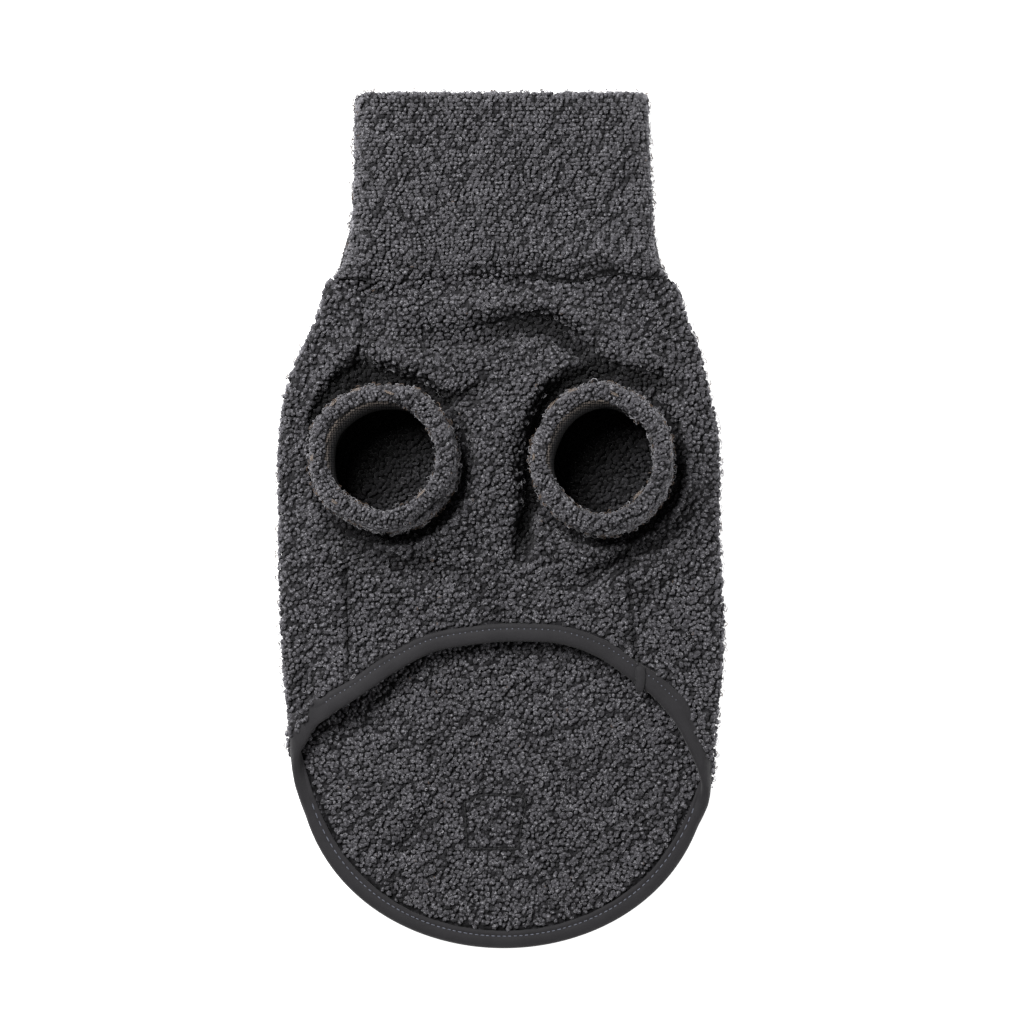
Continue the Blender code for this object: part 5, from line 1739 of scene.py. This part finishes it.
def make_joint():
    """Where the tape's ends meet: near-black stitches across it, which are the painted shadow line
    of the crevice there, and beside them a lip, which is a flattened round section, narrower at
    both ends, carried down its line on the tape."""
    height = LAID_HEIGHT + lift(*JOINT_LINE.T)
    line = np.column_stack([JOINT_LINE, height])
    stitches = sewn_line("joint_shadow_stitches", line, JOINT_STITCH, JOINT_STITCH_UP)
    down = np.linspace(0, 1, LIP_ROWS)[:, None]
    turn = (np.arange(LIP_SIDES) * 2 * math.pi / LIP_SIDES)[None, :]
    at = resampled(LIP_LINE, 0.58)
    along = np.linspace(0, 1, len(at))
    middle_x, y = (np.interp(down, along, column) for column in at.T)
    narrow = (1 - np.abs(2 * down - 1) ** 6 * 0.97) ** 0.5
    wide = LIP_WIDE * narrow * (1 - LIP_NARROWS * down)
    x = middle_x + wide * np.sign(np.cos(turn)) * np.abs(np.cos(turn)) ** LIP_FLAT
    y = y + 0 * turn
    z = LAID_HEIGHT + lift(x, y) + LIP_HIGH * narrow * (LIP_UP + np.sin(turn))
    points = np.stack([x, y, z], axis=-1).reshape(-1, 3)
    ring = np.arange(LIP_SIDES)
    cap = np.stack([0 * ring[2:], ring[2:], ring[1:-1]], axis=-1)
    faces = [grid_blocks(LIP_ROWS, LIP_SIDES, False, True), cap]
    faces.append(cap[:, ::-1] + (LIP_ROWS - 1) * LIP_SIDES)
    return [stitches, new_piece("tape_lip", points, faces, [TAPE])]


# ---- Materials


class Socket:
    """A value in a node tree. Arithmetic on it adds Math nodes."""

    def __init__(self, shader, link):
        self.shader = shader
        self.link = link

    def maths(self, operation, *others):
        return self.shader.node("ShaderNodeMath", {"operation": operation}, self, *others)

    def __add__(self, other):
        return self.maths("ADD", other)

    __radd__ = __add__

    def __mul__(self, other):
        return self.maths("MULTIPLY", other)

    __rmul__ = __mul__

    def __sub__(self, other):
        return self.maths("SUBTRACT", other)

    def __rsub__(self, other):
        return self.shader.node("ShaderNodeMath", {"operation": "SUBTRACT"}, other, self)

    def __pow__(self, other):
        return self.maths("POWER", other)


class Shader:
    """A material whose nodes are added by one method."""

    def __init__(self, name):
        self.material = bpy.data.materials.new(name)
        self.material.use_nodes = True
        self.tree = self.material.node_tree
        self.surface = self.tree.nodes["Principled BSDF"]

    def node(self, kind, settings, *inputs, output=0, **named):
        """Adds a node: its settings first, then its sockets by order or by name. Returns one
        output."""
        node = self.tree.nodes.new(kind)
        for key, value in settings.items():
            setattr(node, key, value)
        by_name = [(key.replace("_", " "), value) for key, value in named.items()]
        for key, value in list(enumerate(inputs)) + by_name:
            self.feed(node.inputs[key], value)
        return Socket(self, node.outputs[output])

    def feed(self, socket, value):
        if isinstance(value, Socket):
            self.tree.links.new(value.link, socket)
        elif value is not None:
            socket.default_value = value

    def mixed(self, factor, first, second):
        """A colour between two, by a factor."""
        node = self.tree.nodes.new("ShaderNodeMix")
        node.data_type = "RGBA"
        colours = [socket for socket in node.inputs if socket.type == "RGBA"]
        self.feed(node.inputs[0], factor)
        self.feed(colours[0], first)
        self.feed(colours[1], second)
        return Socket(self, [socket for socket in node.outputs if socket.type == "RGBA"][0])

    def ramp(self, value, low, high):
        """0 below one value and 1 above another, eased between them."""
        eased_between = {"interpolation_type": "SMOOTHSTEP"}
        return self.node("ShaderNodeMapRange", eased_between, value, low, high)

    def place(self):
        """Where a point of the piece is."""
        return self.node("ShaderNodeTexCoord", {}, output=3)

    def stored(self, name):
        """A value stored at the piece's points."""
        return self.node("ShaderNodeAttribute", {"attribute_name": name}, output=2)

    def noise(self, place, scale, detail, **named):
        """Slow or fine clouds, by their scale for each metre."""
        named = dict(Vector=place, Scale=scale, Detail=detail, **named)
        return self.node("ShaderNodeTexNoise", {}, **named)

    def cells(self, place, scale, feature="F1", **named):
        """Rounded cells, by their scale for each metre."""
        named = dict(Vector=place, Scale=scale, **named)
        return self.node("ShaderNodeTexVoronoi", {"feature": feature}, **named)

    def bump(self, strength, distance, height):
        """Fine unevenness of a surface by a height."""
        named = dict(Strength=strength, Distance=distance, Height=height)
        return self.node("ShaderNodeBump", {}, **named)

    def finish(self, colour, roughness, normal=None, **constants):
        self.feed(self.surface.inputs["Base Color"], colour)
        self.feed(self.surface.inputs["Roughness"], roughness)
        if normal is not None:
            self.feed(self.surface.inputs["Normal"], normal)
        for key, value in constants.items():
            self.surface.inputs[key.replace("_", " ")].default_value = value
        return self.material


PAINTED_SHADE_BLACK = (0.001, 0.001, 0.0011, 1.0)
WHITE = (1.0, 1.0, 1.0, 1.0)
# The fleece's colour by the stored value: painted shade, black in the crevices and folds, ends
# between two values, and the full colour is reached at a third. How strongly it is mottled, between
# which stored values painted light makes it paler still, and where in their noise the bright
# specks and the slow pale patches are, each with its share.
CREVICE_SHADE_ENDS = Range(0.0, 0.14)
FULL_HEIGHT = 1.5
PAINTED_EDGE_LIGHT = Range(1.05, 1.55)
PAINTED_EDGE_LIGHT_SHARE = 0.75
MOTTLED = 2.6
GLINT = Range(0.58, 0.68)
GLINT_SHARE = 0.8
PATCH = Range(0.25, 0.75)
PATCH_SHARE = 0.06


def fleece_material(name, deep, body, tip):
    """Curly fleece: the colour goes by the stored value from painted shade, black in the crevices
    and folds and dark at the nubs' feet, to the tips, mottled as the curls lie. Bent fibres catch
    the light as small bright specks."""
    shader = Shader(name)
    place = shader.place()
    pile = shader.stored("pile")
    relief = shader.stored("relief")
    mottle = shader.noise(place, 760.0, 3.0, Roughness=0.65, Distortion=0.5)
    speck = shader.noise(place, 1050.0, 0.5, Distortion=1.2)
    nub = shader.cells(place, 340.0, "DISTANCE_TO_EDGE")
    patch = shader.noise(place, 60.0, 2.0)
    parted = shader.ramp(nub, 0.02, 0.22)
    height = pile * relief + (1 - relief) * (parted * 0.75 + 0.05)
    shade = shader.ramp(height * ((mottle - 0.5) * MOTTLED + 1.0), 0.0, FULL_HEIGHT)
    colour = shader.mixed(shade, deep, body)
    colour = shader.mixed(shader.ramp(height, *CREVICE_SHADE_ENDS), PAINTED_SHADE_BLACK, colour)
    glint = shader.ramp(speck, *GLINT) * shader.ramp(height, 0.1, 1.0) * GLINT_SHARE
    colour = shader.mixed(glint, colour, tip)
    # Painted light: side nubs whose stored value rises past the full colour are mixed towards the
    # tip colour
    colour = shader.mixed(shader.ramp(pile, *PAINTED_EDGE_LIGHT) * PAINTED_EDGE_LIGHT_SHARE, colour, tip)
    light = shader.ramp(patch, *PATCH) * PATCH_SHARE
    colour = shader.mixed(light * shade, colour, tip)
    bump = shader.bump(0.9, 0.0008, mottle + speck * 0.5)
    looks = dict(Sheen_Weight=0.1, Sheen_Roughness=0.5, Specular_IOR_Level=0.2)
    return shader.finish(colour, 0.92, bump, **looks)


FIBRE_DARK = (0.002, 0.002, 0.0022, 1.0)
FIBRE_LIGHT = (0.50, 0.49, 0.52, 1.0)
FIBRE_BROWN = (0.15, 0.10, 0.07, 1.0)
BROWN = Range(0.94, 0.942)


def fibre_material():
    """Single fibres: each curl has its own lightness, partly at random and partly its nub's painted
    shade and painted light, and a few are brown.
    """
    shader = Shader("curled_fibre")
    shade = shader.stored("pile")
    colour = shader.mixed(shade, FIBRE_DARK, FIBRE_LIGHT)
    colour = shader.mixed(shader.ramp(shade, *BROWN), colour, FIBRE_BROWN)
    return shader.finish(colour, 0.7, None, Sheen_Weight=0.2, Specular_IOR_Level=0.4)


# The knit's colours: lower down, near the rim, in its dots, and the painted shade deep in the
# sleeve. Then the heights, in metres, between which the first changes into the second and the
# painted shade ends
KNIT_LOW = (0.12, 0.115, 0.12, 1.0)
KNIT_HIGH = (0.36, 0.30, 0.26, 1.0)
KNIT_DOT = (0.004, 0.004, 0.004, 1.0)
KNIT_PAINTED_SHADE = (0.002, 0.002, 0.002, 1.0)
KNIT_CHANGES = Range(0.036, 0.044)
KNIT_SHADE_ENDS = Range(0.030, 0.040)


def backing_material():
    """Plain knit: small dark dots between fine ribs, in rows along and across the cuff, lost in
    painted shade lower down in the sleeve."""
    shader = Shader("knit_backing")
    place = shader.place()
    height = shader.node("ShaderNodeSeparateXYZ", {}, place, output=2)
    dots = shader.cells(place, 860.0, Randomness=0.3)
    tint = shader.mixed(shader.ramp(height, *KNIT_CHANGES), KNIT_LOW, KNIT_HIGH)
    colour = shader.mixed(shader.ramp(dots, 0.3, 0.6), tint, KNIT_DOT)
    colour = shader.mixed(shader.ramp(height, *KNIT_SHADE_ENDS), KNIT_PAINTED_SHADE, colour)
    return shader.finish(colour, 0.9, shader.bump(0.5, 0.0003, dots))


def thread_material(name, colour, light):
    """Sewing thread: two plies show as fine slanting lights along it."""
    shader = Shader(name)
    ply = shader.noise(shader.place(), 2600.0, 1.0)
    mixed = shader.mixed(shader.ramp(ply, 0.35, 0.65), colour, light)
    return shader.finish(mixed, 0.6, None, Sheen_Weight=0.1)


TAPE_DARK = (0.0195, 0.0183, 0.0205, 1.0)
TAPE_FADED = (0.025, 0.0236, 0.0262, 1.0)
TAPE_GRAIN = (0.040, 0.039, 0.043, 1.0)


def tape_material():
    """Smooth dark tape of fine woven cloth: two crossed sets of very fine waves, and slow
    fading."""
    shader = Shader("woven_tape")
    place = shader.place()
    grain = shader.noise(place, 2400.0, 2.0)
    patch = shader.noise(place, 90.0, 3.0)
    weave = shader.cells(place, 2600.0, Randomness=0.25)
    colour = shader.mixed(shader.ramp(patch, 0.3, 0.7), TAPE_DARK, TAPE_FADED)
    colour = shader.mixed(shader.ramp(grain, 0.45, 0.8) * 0.6, colour, TAPE_GRAIN)
    bump = shader.bump(0.35, 0.0002, weave + grain)
    return shader.finish(colour, 0.72, bump, Sheen_Weight=0.12, Specular_IOR_Level=0.3)


FLEECE = fleece_material(
    "curly_fleece",
    deep=(0.0085, 0.0081, 0.0092, 1.0),
    body=(0.110, 0.106, 0.118, 1.0),
    tip=(0.36, 0.355, 0.38, 1.0),
)
COLLAR_FLEECE = fleece_material(
    "collar_fleece",
    deep=(0.010, 0.0096, 0.0108, 1.0),
    body=(0.122, 0.118, 0.130, 1.0),
    tip=(0.37, 0.365, 0.39, 1.0),
)
BACKING = backing_material()
FIBRE = fibre_material()
TAPE = tape_material()
THREAD = thread_material("grey_thread", (0.095, 0.10, 0.125, 1.0), (0.20, 0.21, 0.265, 1.0))
# Near-black thread for the square's stitches, and at the tape's joint a painted shadow line
DARK_THREAD_AND_SHADOW = thread_material(
    "dark_thread_and_shadow", (0.003, 0.003, 0.0033, 1.0), (0.009, 0.009, 0.010, 1.0)
)
CUFF_THREAD = thread_material("tan_thread", (0.13, 0.10, 0.08, 1.0), (0.42, 0.33, 0.26, 1.0))


# ---- Stage

# Round lamps that point at the garment's middle: where they are, in metres, how wide, and their
# power in watts
Lamp = namedtuple("Lamp", "name place size power")
LAMPS = (
    Lamp("key", (-0.78, 0.86, 1.50), 1.0, 46.0),
    Lamp("side", (1.5, -0.5, 0.55), 1.2, 9.0),
)
LAMPS_AIM = (0.0, 0.02, 0.0)
WORLD_LIGHT = 0.10
FLOOR_HALF = 3.0
FLOOR_COLOUR = (0.9, 0.9, 0.9, 1.0)
FLOOR_GLOW = 1.0


def make_floor():
    """A pale square floor with its own light."""
    mesh = bpy.data.meshes.new("floor")
    low, high = -FLOOR_HALF, FLOOR_HALF
    corners = [(low, low, 0), (high, low, 0), (high, high, 0), (low, high, 0)]
    mesh.from_pydata(corners, [], [(0, 1, 2, 3)])
    floor = bpy.data.objects.new("floor", mesh)
    bpy.context.scene.collection.objects.link(floor)
    shader = Shader("pale_floor")
    shader.surface.inputs["Emission Color"].default_value = WHITE
    shader.surface.inputs["Emission Strength"].default_value = FLOOR_GLOW
    mesh.materials.append(shader.finish(FLOOR_COLOUR, 0.9))


def make_lamp(name, place, size, power):
    """One round lamp, which points at the garment's middle."""
    lamp = bpy.data.lights.new(name, "AREA")
    lamp.shape = "DISK"
    lamp.size = size
    lamp.energy = power
    light = bpy.data.objects.new(name, lamp)
    way = Vector(LAMPS_AIM) - Vector(place)
    turn = way.to_track_quat("-Z", "Y").to_matrix().to_4x4()
    light.matrix_world = Matrix.Translation(place) @ turn
    bpy.context.scene.collection.objects.link(light)


def make_stage():
    """A pale floor, a soft key light from the upper left, a weak low one from the right and an
    even world."""
    make_floor()
    for lamp in LAMPS:
        make_lamp(*lamp)
    world = bpy.data.worlds.new("studio")
    bpy.context.scene.world = world
    world.use_nodes = True
    background = world.node_tree.nodes["Background"]
    background.inputs["Color"].default_value = WHITE
    background.inputs["Strength"].default_value = WORLD_LIGHT


# The camera, in metres: how wide the picture is, at which height, from how far above, and its
# middle
PICTURE_SPAN = 0.512
PICTURE_LEVEL = 0.008
PICTURE_MIDDLE = (0.0055, 0.004)
CAMERA_ABOVE = 1.5
SENSOR = 36.0


def make_camera():
    """Straight down, the picture's upper edge towards the collar."""
    lens = bpy.data.cameras.new("camera")
    lens.sensor_width = SENSOR
    lens.lens = SENSOR * CAMERA_ABOVE / PICTURE_SPAN
    camera = bpy.data.objects.new("camera", lens)
    camera.location = (*PICTURE_MIDDLE, CAMERA_ABOVE + PICTURE_LEVEL)
    bpy.context.scene.collection.objects.link(camera)
    bpy.context.scene.camera = camera
    bpy.context.scene.view_settings.view_transform = "Standard"


make_stage()
make_camera()
back, back_nubs, back_outline = make_back()
belly, belly_nubs, belly_outline = make_belly()
sleeves = [make_sleeve(sleeve, 20 + 10 * k) for k, sleeve in enumerate(SLEEVES)]
collar, collar_nubs = make_collar()
tape = make_tape()
on_tape = [make_tape_stitches()] + make_joint()
on_back = back_nubs + [make_square_stitches()]
for k, nubs in enumerate(back_nubs):
    each = CURLS_IN_HOLES if k == 2 else CURLS_EACH
    on_back.append(new_curls(nubs, 61 + k, each))
on_belly = belly_nubs + [new_curls(nubs, 71) for nubs in belly_nubs]
on_collar = collar_nubs + [new_curls(nubs, 72) for nubs in collar_nubs]

# Curls on each sleeve's nubs
for sleeve, pieces in sleeves:
    pieces = pieces + [new_curls(pieces[0], 73)]
